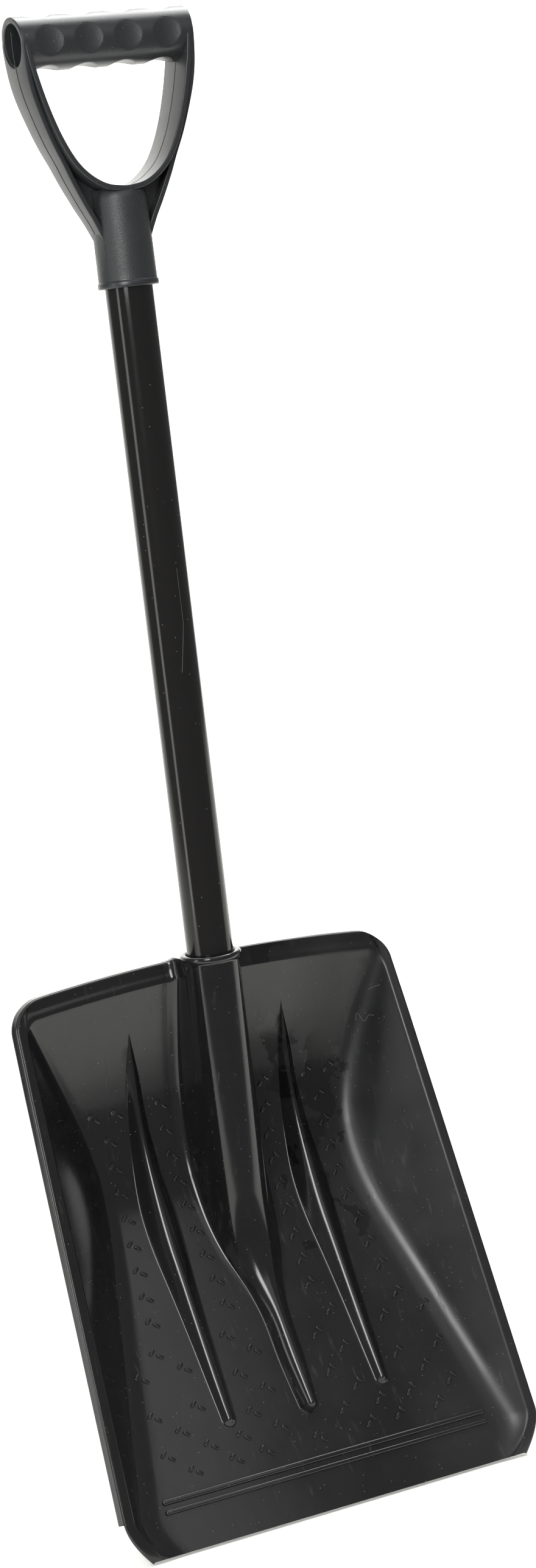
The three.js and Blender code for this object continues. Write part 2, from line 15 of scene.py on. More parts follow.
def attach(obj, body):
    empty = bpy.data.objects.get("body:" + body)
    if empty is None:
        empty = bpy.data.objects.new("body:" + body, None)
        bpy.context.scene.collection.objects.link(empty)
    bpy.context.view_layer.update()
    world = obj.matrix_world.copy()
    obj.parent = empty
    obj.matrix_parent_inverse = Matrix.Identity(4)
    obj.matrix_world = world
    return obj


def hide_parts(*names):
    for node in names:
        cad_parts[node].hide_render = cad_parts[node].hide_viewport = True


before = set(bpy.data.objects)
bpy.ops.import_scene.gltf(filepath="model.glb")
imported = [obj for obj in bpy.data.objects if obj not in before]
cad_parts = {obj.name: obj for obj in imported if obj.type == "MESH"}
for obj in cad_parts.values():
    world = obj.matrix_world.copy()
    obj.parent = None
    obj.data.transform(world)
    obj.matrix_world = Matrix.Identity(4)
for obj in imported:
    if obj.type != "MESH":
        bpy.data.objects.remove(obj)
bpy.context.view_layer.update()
MM = 0.001

# ---------------------------------------------------------------- sizes shared with the CAD

RIM_TILT = math.radians(20.28)
EDGE_V = 312.6
EDGE_N = 5.05
SHEET = 2.5
CLEARANCE = 0.3

SHAFT_RADIUS = 13
SKIN = 0.5
SHAFT_Y = 87.2
SHAFT_BOTTOM_Z = 190
SHAFT_TOP_Z = 697
BORE_RADIUS = SHAFT_RADIUS + CLEARANCE
SOCKET_TOP_Z = 295
SOCKET_BOTTOM_Z = 186
SOCKET_RADIUS = 16
SOCKET_RING_RADIUS = 17.1
SOCKET_RING_HEIGHT = 3.4

CROSSBAR_Z = 788.9
CROSSBAR_RADIUS = 14.5
CROSSBAR_HALF = 48.9
CROSSBAR_LEAN = math.tan(math.radians(4.78))
CROSSBAR_BORE = 11.2
DIMPLE_PITCH = 22.5
DIMPLE_RADIUS = 8.25
DIMPLE_DEPTH = 2.0
GRIP_COLLAR_Z = 658.5
GRIP_COLLAR_RADIUS = 16.5
GRIP_SOCKET_FOOT_RADIUS = 15.8
GRIP_SOCKET_TOP_RADIUS = 15.5
GRIP_SHEET = 2.8
WEB_HALF = 1.4
STRIP_ROOT = 6.7
STRIP_ROOT_Z = 684

SCREW_SHANK = 2.0
SCREW_HEAD = 4.0
BLADE_SCREW_Z = 208
GRIP_SCREW_Z = 676

# ---------------------------------------------------------------- small maths


def smooth_min(a, b, k):
    h = np.maximum(0, 1 - np.abs(a - b) / k)
    return np.minimum(a, b) - h * h * k / 4


def smooth_max(a, b, k):
    return -smooth_min(-a, -b, k)


def smooth_step(t):
    t = np.clip(t, 0, 1)
    return t * t * (3 - 2 * t)


def through(pairs):
    """A smooth curve through (place, value) pairs."""
    px, py = np.array(pairs, float).T
    last = len(px) - 1
    before = np.maximum(np.arange(last + 1) - 1, 0)
    after = np.minimum(np.arange(last + 1) + 1, last)
    slope = (py[after] - py[before]) / (px[after] - px[before])

    def value(place):
        place = np.clip(place, px[0], px[-1])
        i = np.clip(np.searchsorted(px, place) - 1, 0, last - 1)
        span = px[i + 1] - px[i]
        t = (place - px[i]) / span
        s = 1 - t
        return (py[i] * s * s * (1 + 2 * t) + slope[i] * span * t * s * s
                + py[i + 1] * t * t * (1 + 2 * s) - slope[i + 1] * span * s * t * t)

    return value


def resample(points, count):
    """The same polyline with evenly spaced points."""
    points = np.asarray(points, float)
    steps = np.hypot(*np.diff(points, axis=0).T)
    along = np.concatenate([[0], np.cumsum(steps)])
    even = np.linspace(0, along[-1], count)
    return np.stack([np.interp(even, along, points[:, k]) for k in (0, 1)], axis=1)


# ---------------------------------------------------------------- mesh helpers


def new_object(name, points, faces, sharp=None):
    """A mesh object from points in millimetres. Edges sharper than `sharp` degrees stay crisp."""
    mesh = bpy.data.meshes.new(name)
    mesh.from_pydata((np.asarray(points, float) * MM).tolist(), [], faces)
    shell = bmesh.new()
    shell.from_mesh(mesh)
    bmesh.ops.recalc_face_normals(shell, faces=shell.faces)
    shell.to_mesh(mesh)
    shell.free()
    finish_shading(mesh, sharp)
    obj = bpy.data.objects.new(name, mesh)
    bpy.context.scene.collection.objects.link(obj)
    return obj


def finish_shading(mesh, sharp):
    mesh.polygons.foreach_set("use_smooth", [True] * len(mesh.polygons))
    if sharp:
        mesh.set_sharp_from_angle(angle=math.radians(sharp))
    mesh.update()


def grid_faces(rows, columns, start=0, wrap_rows=False, wrap_columns=False, flip=False):
    """Quads of a rows x columns grid of points numbered from start."""
    r = np.arange(rows if wrap_rows else rows - 1)[:, None]
    c = np.arange(columns if wrap_columns else columns - 1)[None, :]
    r1 = (r + 1) % rows
    c1 = (c + 1) % columns
    corners = (r * columns + c, r * columns + c1, r1 * columns + c1, r1 * columns + c)
    quads = np.stack(np.broadcast_arrays(*corners), -1).reshape(-1, 4) + start
    return (quads[:, ::-1] if flip else quads).tolist()


def lathe(profile, segments, centre=(0, SHAFT_Y)):
    """A closed solid turned about Z through centre. Its (radius, z) corners start and end on the axis."""
    turn = np.arange(segments) * 2 * math.pi / segments
    points = []
    faces = []
    inner = profile[1:-1]
    for radius, z in inner:
        ring = [(centre[0] + radius * math.cos(a), centre[1] + radius * math.sin(a), z) for a in turn]
        points.extend(ring)
    faces.extend(grid_faces(len(inner), segments, wrap_columns=True))
    low = len(points)
    points.append((centre[0], centre[1], profile[0][1]))
    points.append((centre[0], centre[1], profile[-1][1]))
    top_ring = (len(inner) - 1) * segments
    for k in range(segments):
        after = (k + 1) % segments
        faces.append([low, after, k])
        faces.append([low + 1, top_ring + k, top_ring + after])
    return points, faces


def combine(obj, others, operation):
    """Joins or cuts obj with the other objects, which are then deleted."""
    for other in others:
        modifier = obj.modifiers.new("combine", "BOOLEAN")
        modifier.operation = operation
        modifier.solver = "MANIFOLD"
        modifier.object = other
        with bpy.context.temp_override(object=obj, active_object=obj, selected_objects=[obj]):
            bpy.ops.object.modifier_apply(modifier=modifier.name)
        bpy.data.objects.remove(other)
    return obj


def join_meshes(obj, others):
    """Adds the other meshes to obj's mesh as separate shells."""
    with bpy.context.temp_override(object=obj, active_object=obj, selected_objects=[obj, *others],
                                   selected_editable_objects=[obj, *others]):
        bpy.ops.object.join()
    return obj


# ---------------------------------------------------------------- blade surface

RIM_CREST_TOP = 113.27
RIM_CREST_SPREAD = 0.03836
SIDE_FLANGE = 4.7
TOP_FLANGE = 9.3
FLANGE_DROP = 0.8
TOP_START = 4.5
TOP_ARCH = 4.4
TOP_ARCH_AT = 90
CORNER_RADIUS = 15
LIP_END_V = 290
FRONT_CORNER_INSET = 12.2
FRONT_CORNER_DROP = 3.2
BACK_REACH = 94.2
BACK_LENGTH = 146.4
FLOOR_SLOPE = 0.211
FLOOR_EDGE_N = 3.8
FLOOR_BEND = 26
WALL_SLOPE = 1.1
WALL_FILLET = 8
RIB_X = 47
RIB_START_V = 38
RIB_END_V = 256
RIB_NOSE = 4.3
HUMP_END_V = 260
HUMP_RISE = 8
HUMP_BEND = 16
MOUND_START_V = 150
MOUND_LENGTH = 50
MOUND_FILLET = 1.2
RIB_FILLET = 0.5
HUMP_FILLET = 7
NOSE_RADIUS = 5.4
ARC_SHARE = 0.8
ARC_DROP = 0.6
# How much the wall steepens towards the top, and over what length.
WALL_STEEPENING = 0.2
STEEP_LENGTH = 110
# The sheet's thickness, measured straight behind the rim plane, grows with each surface's slope.
BACK_STRETCH = 1.15
FLOOR_STRETCH = 1.02
WALL_STRETCH = 1.49
RIM_BLEND = 0.9
RIB_BLUNT = 0.3
# Where the shaft's axis runs in the rim-plane frame.
AXIS_V = 5.72
AXIS_N = -15.48

# Stations down the slope, as (v, size).
rib_half_width = through([
    (38, 0.3), (60, 4.2), (82, 5.8), (105, 7.8), (130, 10), (150, 10), (181, 7.8), (205, 6.4),
    (229, 5.4), (250, 4.3),
])
rib_height = through([
    (38, 0.2), (70, 4), (100, 7), (130, 8.5), (164, 7), (188, 5.4), (214, 4), (246, 3),
])
hump_half_width = through([
    (0, 15.5), (30, 16.5), (60, 17.9), (110, 18.7), (135, 18.7), (150, 18), (167, 15.8), (180, 12.4),
    (190, 10), (205, 7.8), (228, 7.3), (245, 6.2), (254, 5.4),
])


def to_row(x, v, n):
    """Rim-plane place (across, down the slope, behind the plane) to the row frame."""
    dv = EDGE_V - v
    dn = n - EDGE_N
    return np.stack(np.broadcast_arrays(
        x,
        dv * math.sin(RIM_TILT) + dn * math.cos(RIM_TILT),
        dv * math.cos(RIM_TILT) - dn * math.sin(RIM_TILT),
    ), -1)


def front_turn(v):
    return np.clip((v - LIP_END_V) / (EDGE_V - LIP_END_V), 0, 1) ** 1.7


def crest_half_width(v):
    return RIM_CREST_TOP + RIM_CREST_SPREAD * v - FRONT_CORNER_INSET * front_turn(v)


def top_arch(x):
    return TOP_START + TOP_ARCH * (x / TOP_ARCH_AT) ** 2


def basin(x, v, offset):
    ax = np.abs(x)
    u = v - top_arch(x) - TOP_FLANGE
    curved = BACK_REACH * (1 - np.exp(-np.maximum(u, 0) / BACK_LENGTH))
    back = np.where(u > 0, curved, BACK_REACH / BACK_LENGTH * u)
    floor = FLOOR_EDGE_N + FLOOR_SLOPE * (EDGE_V - v)
    slope = WALL_SLOPE + WALL_STEEPENING * np.maximum(0, 1 - v / STEEP_LENGTH)
    wall = slope * (crest_half_width(v) - SIDE_FLANGE - ax)
    bottom = smooth_min(back + offset * BACK_STRETCH, floor + offset * FLOOR_STRETCH, FLOOR_BEND)
    return FLANGE_DROP * (1 - front_turn(v)) + smooth_min(bottom, wall + offset * WALL_STRETCH, WALL_FILLET)


def plain_surface(x, v, offset):
    inside = np.minimum(crest_half_width(v) - np.abs(x), v - top_arch(x))
    drop = FLANGE_DROP * np.clip(inside / SIDE_FLANGE, 0, 1) * (1 - front_turn(v))
    level = FRONT_CORNER_DROP * front_turn(v) + drop
    return smooth_max(level + offset, basin(x, v, offset), RIM_BLEND)


def rib_rise(x, v, offset):
    end = RIB_END_V - RIB_NOSE
    half = rib_half_width(np.minimum(v, end)) - 0.45 * offset
    safe = np.maximum(half, 0.3)
    across = (np.abs(x) - RIB_X) / safe
    along = np.maximum(0, v - end) / (RIB_NOSE - 0.3 * offset)
    s = np.hypot(across, along)
    profile = 1 - (np.hypot(s, RIB_BLUNT) - RIB_BLUNT) / (math.hypot(1, RIB_BLUNT) - RIB_BLUNT)
    full = np.maximum(rib_height(np.minimum(v, end)), 0.01)
    rise = full * np.clip(profile, 0, 1)
    rise = (np.hypot(rise, RIB_FILLET) - RIB_FILLET) * full / (np.hypot(full, RIB_FILLET) - RIB_FILLET)
    return np.where((s < 1) & (half > 0.3) & (v > RIB_START_V), rise, 0)


def hump_measures(v, offset):
    """Half width, half width at the base and crest level of the hump at v."""
    start = HUMP_END_V - NOSE_RADIUS
    along = np.clip((v - start) / NOSE_RADIUS, 0, 1)
    half = hump_half_width(np.minimum(v, start)) * np.sqrt(1 - along * along)
    base = half - 0.4 * offset
    middle = plain_surface(0 * v, v, offset)
    rise = HUMP_RISE * (1 - 0.75 * along * along)
    axis = (v - AXIS_V) * math.tan(RIM_TILT) + AXIS_N
    socket_front = axis - SOCKET_RADIUS / math.cos(RIM_TILT)
    crest = np.minimum(smooth_min(socket_front, middle - rise, HUMP_BEND) + 0.2 * offset, middle - 0.4)
    return half, base, crest


def hump_surface(x, v, plain, offset):
    half, base, crest = hump_measures(v, offset)
    height = plain - crest
    fillet = np.minimum(HUMP_FILLET, 0.22 * np.maximum(height, 0.01))
    arc_end = ARC_SHARE * np.minimum(np.maximum(base, 0.01), SOCKET_RADIUS)
    arc_radius = arc_end / ARC_SHARE
    arc_drop = np.minimum(arc_radius * (1 - ARC_DROP) / math.cos(RIM_TILT), 0.6 * height)
    ax = np.abs(x)
    bulge = (arc_radius - np.sqrt(np.maximum(arc_radius ** 2 - ax * ax, 0))) / (arc_radius * (1 - ARC_DROP))
    flank = (ax - arc_end) / np.maximum(base - arc_end, 0.01)
    turn = np.clip(1 - (ax - base) / fillet, 0, 1)
    shape = np.where(
        ax <= arc_end, crest + arc_drop * bulge,
        np.where(ax <= base, crest + arc_drop + (plain - fillet - crest - arc_drop) * flank,
                 plain - fillet * (1 - np.sqrt(1 - turn * turn))))
    mound = plain - height * (1 - (ax / np.maximum(base, 0.01)) ** 2)
    mound = smooth_min(plain, mound, np.minimum(MOUND_FILLET, 0.15 * np.maximum(height, 0.01)))
    share = smooth_step((v - MOUND_START_V) / MOUND_LENGTH)
    shape = shape * (1 - share) + mound * share
    outside = (half < 0.4) | (height <= 0) | (ax >= base + fillet)
    return np.where(outside, plain, shape)


def blade_surface(x, v, offset=0.0):
    x = np.asarray(x, float)
    v = np.asarray(v, float)
    plain = plain_surface(x, v, offset)
    return hump_surface(x, v, plain, offset) - rib_rise(x, v, offset)


# ---------------------------------------------------------------- blade mesh

# Lip section beyond the crest, as (outwards, depth), and the plain edge ahead of the lip's end.
LIP = [
    (0.0, 0.0), (0.3, 0.07), (0.52, 0.24), (0.64, 0.5), (0.7, 0.85), (0.74, 1.2), (1.02, 1.27),
    (1.16, 1.42), (1.24, 1.75), (1.62, 3.1), (2.2, 4.8), (2.42, 5.5), (2.38, 5.95), (2.1, 6.25),
    (1.5, 6.3), (1.05, 6.05), (0.85, 5.5), (0.2, 4.3), (-0.9, 3.2),
]
EDGE = [
    (0.0, 0.0), (0.25, 0.05), (0.45, 0.15), (0.6, 0.28), (0.72, 0.42), (0.82, 0.58), (0.9, 0.72),
    (0.97, 0.86), (1.02, 1.0), (1.06, 1.12), (1.08, 1.24), (1.06, 1.36), (1.0, 1.48), (0.88, 1.6),
    (0.7, 1.7), (0.45, 1.78), (0.15, 1.84), (-0.3, 1.9), (-0.8, 1.95),
]


# Columns across a rib: the end of each stretch as a share of its half width, and its count.
RIB_COLUMNS = [(-0.93, 2), (-0.8, 3), (-0.4, 4), (0, 4), (0.4, 4), (0.8, 4), (0.93, 3), (1, 2)]


def blade_columns(v):
    """Across places of one row: they follow the hump, the ribs and the wall."""
    start = HUMP_END_V - NOSE_RADIUS
    flat = np.minimum(v, start)
    half, base, crest = hump_measures(np.array([flat]), 0.0)
    base = float(base[0])
    height = float(plain_surface(base, flat, 0.0) - crest[0])
    fillet = min(HUMP_FILLET, 0.22 * height)
    arc_end = ARC_SHARE * min(base, SOCKET_RADIUS)
    rib = max(float(rib_half_width(np.clip(v, RIB_START_V, RIB_END_V - RIB_NOSE))), 1.2)
    crest_x = float(crest_half_width(v))
    inner = crest_x - SIDE_FLANGE
    depth = float(basin(RIB_X + 25, v, 0.0))
    foot = min(inner - 3, inner - max(depth, 3) / WALL_SLOPE)
    rib_out = RIB_X + rib
    foot_in = max(foot - 4, rib_out + 2)
    # Where each stretch ends and how many columns it holds.
    stops = [(0, 0), (arc_end, 12), (base, 7), (base + fillet, 8), (RIB_X - rib - 0.5, 9), (RIB_X - rib, 1)]
    stops += [(RIB_X + share * rib, count) for share, count in RIB_COLUMNS]
    stops += [(rib_out + 0.5, 1), (foot_in, 9), (foot + 3, 6)]
    stops += [(inner - 1.2, 9), (inner + 1.2, 6), (crest_x, 4)]
    places = [0.0]
    for (a, _), (b, count) in zip(stops, stops[1:]):
        places.extend(a + (b - a) * (k + 1) / count for k in range(count))
    right = np.array(places[1:])
    return np.concatenate([-right[::-1], [0], right])


def blade_rows():
    stops = [
        (0, 0), (9.3, 8), (12, 6), (30, 15), (180, 110), (RIB_END_V - 6, 50), (HUMP_END_V + 1, 16),
        (288.5, 18), (LIP_END_V, 2), (LIP_END_V + 0.06, 1), (EDGE_V - 0.8, 20), (EDGE_V, 2),
    ]
    rows = [0.0]
    for (a, _), (b, count) in zip(stops, stops[1:]):
        rows.extend(a + (b - a) * (k + 1) / count for k in range(count))
    return rows


def round_corners(x, v):
    """Moves places of the square-cornered grid so that the two top corners become round."""
    width = crest_half_width(v)
    top = top_arch(width)
    p = np.clip((np.abs(x) - (width - CORNER_RADIUS)) / CORNER_RADIUS, 0, None)
    q = np.clip((top + CORNER_RADIUS - v) / CORNER_RADIUS, 0, None)
    px = p * np.sqrt(np.maximum(1 - q * q / 2, 0))
    qx = q * np.sqrt(np.maximum(1 - p * p / 2, 0))
    inside = (p > 0) & (q > 0)
    new_x = np.where(inside, np.sign(x) * (width - CORNER_RADIUS + px * CORNER_RADIUS), x)
    new_v = np.where(inside, top + CORNER_RADIUS - qx * CORNER_RADIUS, v)
    return new_x, new_v


# How far the rear skin's outermost columns stand back from the crest, to meet the lip.
REAR_INSET = 1.7


def blade_shell():
    rows = blade_rows()
    x = np.array([blade_columns(row) for row in rows])
    v = np.array(rows)[:, None] + top_arch(x) * np.maximum(0, 1 - np.array(rows)[:, None] / 60)
    x, v = round_corners(x, v)
    count_rows, count_columns = x.shape
    front = to_row(x, v, blade_surface(x, v, 0.0)).reshape(-1, 3)
    edge_zone = (np.abs(x) > crest_half_width(v) - REAR_INSET) & (v < LIP_END_V + 0.1)
    rear_x = np.where(edge_zone, x - np.sign(x) * REAR_INSET, x)
    rear = to_row(rear_x, v, blade_surface(x, v, SHEET)).reshape(-1, 3)
    size = count_rows * count_columns
    faces = grid_faces(count_rows, count_columns, 0, flip=True) + grid_faces(count_rows, count_columns, size)

    last = count_rows - 1
    right = count_columns - 1
    border = [(r, 0) for r in range(last, 0, -1)]
    border += [(0, c) for c in range(right)]
    border += [(r, right) for r in range(count_rows)]
    places = np.array([(x[r, c], v[r, c]) for r, c in border])
    step = np.roll(places, -1, 0) - np.roll(places, 1, 0)
    step[0] = places[1] - places[0]
    step[-1] = places[-1] - places[-2]
    out = np.stack([step[:, 1], -step[:, 0]], 1) / np.hypot(step[:, 0], step[:, 1])[:, None]
    level = blade_surface(places[:, 0], places[:, 1], 0.0)
    lipped = (places[:, 1] < LIP_END_V + 0.03)[:, None, None]
    section = np.where(lipped, np.array(LIP)[None], np.array(EDGE)[None])[:, 1:]
    loop_x = places[:, 0:1] + out[:, 0:1] * section[:, :, 0]
    loop_v = places[:, 1:2] + out[:, 1:2] * section[:, :, 0]
    loops = to_row(loop_x, loop_v, level[:, None] + section[:, :, 1])
    count_loop = loops.shape[1]
    points = np.concatenate([front, rear, loops.reshape(-1, 3)])

    def station(i):
        r, c = border[i]
        first = 2 * size + i * count_loop
        return [r * count_columns + c, *range(first, first + count_loop), size + r * count_columns + c]

    for i in range(len(border) - 1):
        here = station(i)
        after = station(i + 1)
        for k in range(len(here) - 1):
            faces.append([here[k], here[k + 1], after[k + 1], after[k]])
    bottom = last * count_columns
    for c in range(right):
        faces.append([bottom + c, size + bottom + c, size + bottom + c + 1, bottom + c + 1])
    faces.append(station(0)[::-1])
    faces.append(station(len(border) - 1))
    return points, faces


def box_mesh(x0, x1, y0, y1, z0, z1):
    points = [(x, y, z) for x in (x0, x1) for y in (y0, y1) for z in (z0, z1)]
    faces = [[0, 1, 3, 2], [4, 6, 7, 5], [0, 4, 5, 1], [2, 3, 7, 6], [0, 2, 6, 4], [1, 5, 7, 3]]
    return points, faces


def cross_rod(radius, y0, y1, z, segments=24):
    """A rod along Y through (0, z)."""
    points, faces = lathe([(0, y0), (radius, y0), (radius, y1), (0, y1)], segments, (0, 0))
    points = [(x, y2, z - y) for x, y, y2 in points]
    return points, faces


def capsule(centre, along, normal, length, width, height):
    """A low rounded bar lying on a surface: a closed shell sunk a little into it."""
    along = along / np.linalg.norm(along)
    side = np.cross(normal, along)
    radius = width / 2
    around = 20
    angle = np.arange(around) * 2 * math.pi / around
    # share of the radius and of the height, from the sunk foot to the top
    rings = [(1.12, -0.8), (1.08, 0.0), (0.98, 0.4), (0.86, 0.72), (0.66, 0.92), (0.34, 1.0)]
    points = []
    for share, rise in rings:
        half = length / 2 - radius
        a = np.cos(angle) * radius * share + np.sign(np.round(np.cos(angle), 6)) * half
        b = np.sin(angle) * radius * share
        points.extend(centre + along * s + side * t + normal * height * rise for s, t in zip(a, b))
    faces = grid_faces(len(rings), around, wrap_columns=True)
    faces.append(list(range(around))[::-1])
    faces.append(list(range((len(rings) - 1) * around, len(rings) * around)))
    return points, faces


def on_blade(x, z):
    """Point and outward (towards the user) normal of the blade's surface at row-frame x and z."""
    v = EDGE_V - z / math.cos(RIM_TILT)
    for _ in range(30):
        n = float(blade_surface(x, v))
        v = EDGE_V - (z + (n - EDGE_N) * math.sin(RIM_TILT)) / math.cos(RIM_TILT)
    step = 0.4
    here = to_row(x, v, blade_surface(x, v))
    du = to_row(x + step, v, blade_surface(x + step, v)) - to_row(x - step, v, blade_surface(x - step, v))
    dv = to_row(x, v + step, blade_surface(x, v + step)) - to_row(x, v - step, blade_surface(x, v - step))
    normal = np.cross(du, dv)
    normal /= np.linalg.norm(normal)
    if normal[1] > 0:
        normal = -normal
    return here, normal


# Raised tick marks stand in rows across the floor, each mirrored on the other side. The upper rows have an
# inner and an outer column, and their pitch grows as the floor steepens. The lower rows are staggered.
UPPER_ROWS = 9
UPPER_ROW_Z = 104.5
UPPER_PITCH = 12
UPPER_PITCH_GROWTH = 0.18
INNER_COLUMN = 25.5
INNER_COLUMN_DRIFT = 0.8
OUTER_COLUMN = 65
OUTER_COLUMN_DRIFT = 1.4
STRAIGHT_FROM_ROW = 4
TOP_PAIR = (-6, 8)
LOWER_ROWS = 7
LOWER_ROW_Z = 90
LOWER_PITCH = 9.3
EVEN_COLUMNS = (32, 74.5)
ODD_COLUMNS = (19.5, 61.5, 87)
SINGLE_ROW = 2
EXTRA_TICKS = {5: 42, 6: 50}
MIDDLE_TICK_Z = 33.5
# Height and width of the two ribs across the front.
FRONT_RIBS = [(24.1, 3.2), (19.4, 2.7)]
FRONT_RIB_LENGTH = 197
FRONT_RIB_HEIGHT = 1.5
TICK_LENGTH = 4.4
TICK_WIDTH = 2.0
TICK_HEIGHT = 0.9
TICK_APART = (1.95, 1.4)


def tick(x, z, hand):
    """Two short bars that slope both ways, one above the other. hand is 1 on the left, -1 on the right."""
    made = []
    for place in (-1, 1):
        cx = x + hand * place * TICK_APART[0]
        cz = z - place * TICK_APART[1]
        centre, normal = on_blade(cx, cz)
        slope = np.array([hand, 0, -place])
        along = slope - normal * np.dot(slope, normal)
        made.append(capsule(centre, along, normal, TICK_LENGTH, TICK_WIDTH, TICK_HEIGHT))
    return made


def tick_places():
    """Across place and height of every tick on the right side."""
    places = []
    for row in range(UPPER_ROWS):
        z = UPPER_ROW_Z + row * (UPPER_PITCH + row * UPPER_PITCH_GROWTH)
        outer = OUTER_COLUMN + OUTER_COLUMN_DRIFT * max(0, STRAIGHT_FROM_ROW - row)
        shifts = TOP_PAIR if row == UPPER_ROWS - 1 else (0,)
        places += [(outer + shift, z) for shift in shifts]
        places.append((INNER_COLUMN + INNER_COLUMN_DRIFT * row, z))
    for row in range(LOWER_ROWS):
        z = LOWER_ROW_Z - row * LOWER_PITCH
        columns = ODD_COLUMNS if row % 2 else EVEN_COLUMNS
        if row == SINGLE_ROW:
            columns = columns[:1]
        places += [(x, z) for x in columns]
        if row in EXTRA_TICKS:
            places.append((EXTRA_TICKS[row], z))
    return places


def merge(parts):
    """One list of points and faces from several."""
    points = []
    faces = []
    for part_points, part_faces in parts:
        start = len(points)
        points.extend(part_points)
        faces.extend([[i + start for i in face] for face in part_faces])
    return points, faces


def thread(name, path, half):
    """A thin pale thread along a path of points, with its points marked in the "pale" attribute."""
    path = np.asarray(path, float)
    direction = np.gradient(path, axis=0)
    direction /= np.linalg.norm(direction, axis=1)[:, None]
    side = np.cross(direction, [0.3, 1.0, 0.2])
    side /= np.linalg.norm(side, axis=1)[:, None]
    up = np.cross(side, direction)
    points = []
    for place, s, u in zip(path, side, up):
        points.extend(place + half * (a * s + b * u) for a, b in ((1, 0), (0, 1), (-1, 0), (0, -1)))
    faces = grid_faces(len(path), 4, wrap_columns=True)
    faces.append([3, 2, 1, 0])
    faces.append([len(points) - 4 + k for k in range(4)])
    made = new_object(name, points, faces)
    pale = made.data.attributes.new("pale", "FLOAT", "POINT")
    pale.data.foreach_set("value", [1.0] * len(points))
    return made


HAIR_HALF = 0.11
HAIR_STEPS = 60


def stray_hair(x, z, across, rise, curl, waves):
    """A hair that drifts from x, z across the blade and upwards, its waves dying away towards its end."""
    path = []
    for t in np.linspace(0, 1, HAIR_STEPS):
        wave = curl * (1 - t) * math.sin(2 * math.pi * waves * t)
        here, normal = on_blade(x + across * t, z + rise * t + wave)
        path.append(here + normal * HAIR_HALF)
    return thread("hair", path, HAIR_HALF)


def stray_hairs():
    """Two hairs that lie in the scoop's upper right corner, one nearly straight and one curly."""
    straight = stray_hair(100.5, 252, across=5.5, rise=2.5, curl=0.6, waves=0.5)
    curly = stray_hair(92, 235.5, across=8.5, rise=2, curl=4, waves=1.5)
    return [straight, curly]


def blade_marks():
    parts = []
    for x, z in tick_places():
        parts += tick(-x, z, 1) + tick(x, z, -1)
    parts += tick(0, MIDDLE_TICK_Z, 1)
    for z, width in FRONT_RIBS:
        centre, normal = on_blade(0, z)
        across = np.array([1.0, 0, 0])
        parts.append(capsule(centre, across, normal, FRONT_RIB_LENGTH, width, FRONT_RIB_HEIGHT))
    return merge(parts)


def make_blade():
    body = new_object("blade_body", *blade_shell())
    top = SOCKET_TOP_Z
    trim = new_object("trim", *box_mesh(-26, 26, 40, SHAFT_Y + SOCKET_RADIUS, top - 2, top + 30))
    combine(body, [trim], "DIFFERENCE")
    ring_z = top - SOCKET_RING_HEIGHT
    outer = SOCKET_RING_RADIUS
    socket = new_object("socket", *lathe([
        (0, SOCKET_BOTTOM_Z), (SOCKET_RADIUS - 0.4, SOCKET_BOTTOM_Z), (SOCKET_RADIUS - 0.4, ring_z - 2.5),
        (SOCKET_RADIUS, ring_z - 1), (outer - 0.35, ring_z + 0.15), (outer, ring_z + 0.6),
        (outer, top - 1.5), (outer - 0.15, top - 0.8), (outer - 0.6, top - 0.25), (outer - 1.3, top),
        (BORE_RADIUS + 1.2, top), (BORE_RADIUS + 0.6, top - 0.2), (BORE_RADIUS + 0.4, top - 0.6),
        (0, top - 0.6),
    ], 128))
    combine(body, [socket], "UNION")
    bottom = SHAFT_BOTTOM_Z - CLEARANCE
    bore = new_object("bore", *lathe([
        (0, bottom), (BORE_RADIUS, bottom), (BORE_RADIUS, top - 1.2), (BORE_RADIUS + 0.5, top - 0.4),
        (BORE_RADIUS + 0.5, top + 20), (0, top + 20),
    ], 128))
    hole = new_object("hole", *cross_rod(SCREW_SHANK + CLEARANCE, SHAFT_Y, SHAFT_Y + 40, BLADE_SCREW_Z))
    seat_y = SHAFT_Y + SOCKET_RADIUS - 0.6
    seat = new_object("seat", *cross_rod(SCREW_HEAD + 1, seat_y, SHAFT_Y + 40, BLADE_SCREW_Z, 48))
    combine(body, [bore, hole, seat], "DIFFERENCE")
    marks = new_object("marks", *blade_marks())
    join_meshes(body, [marks, *stray_hairs()])
    finish_shading(body.data, 55)
    return body


# ---------------------------------------------------------------- grip

# Half widths of the grip's opening and of its outline, as (z, half width).
opening_half = through([
    (711.3, 1), (712.5, 9), (716, 16.3), (721.5, 22.8), (728, 27.6), (738, 32.6), (747, 36), (756, 38.8),
    (766, 41.4), (778, 43.9), (790, 45.5),
])
outline_half = through([
    (683, 13.6), (694, 18.5), (702, 22.7), (715, 28.9), (725, 33.1), (736, 38), (748, 42.4), (762, 46.6),
    (774, 48.6), (789, 49.2), (803.4, 48.4),
])


def rounded_box_section(half_wide, half_deep, radius, steps=4):
    """Corner points of a rounded rectangle, anticlockwise, as (across, deep)."""
    section = []
    for quarter in range(4):
        cx = (half_wide - radius) * (1 if quarter in (0, 3) else -1)
        cy = (half_deep - radius) * (1 if quarter in (0, 1) else -1)
        for k in range(steps + 1):
            angle = math.pi / 2 * (quarter + k / steps)
            section.append((cx + radius * math.cos(angle), cy + radius * math.sin(angle)))
    return section


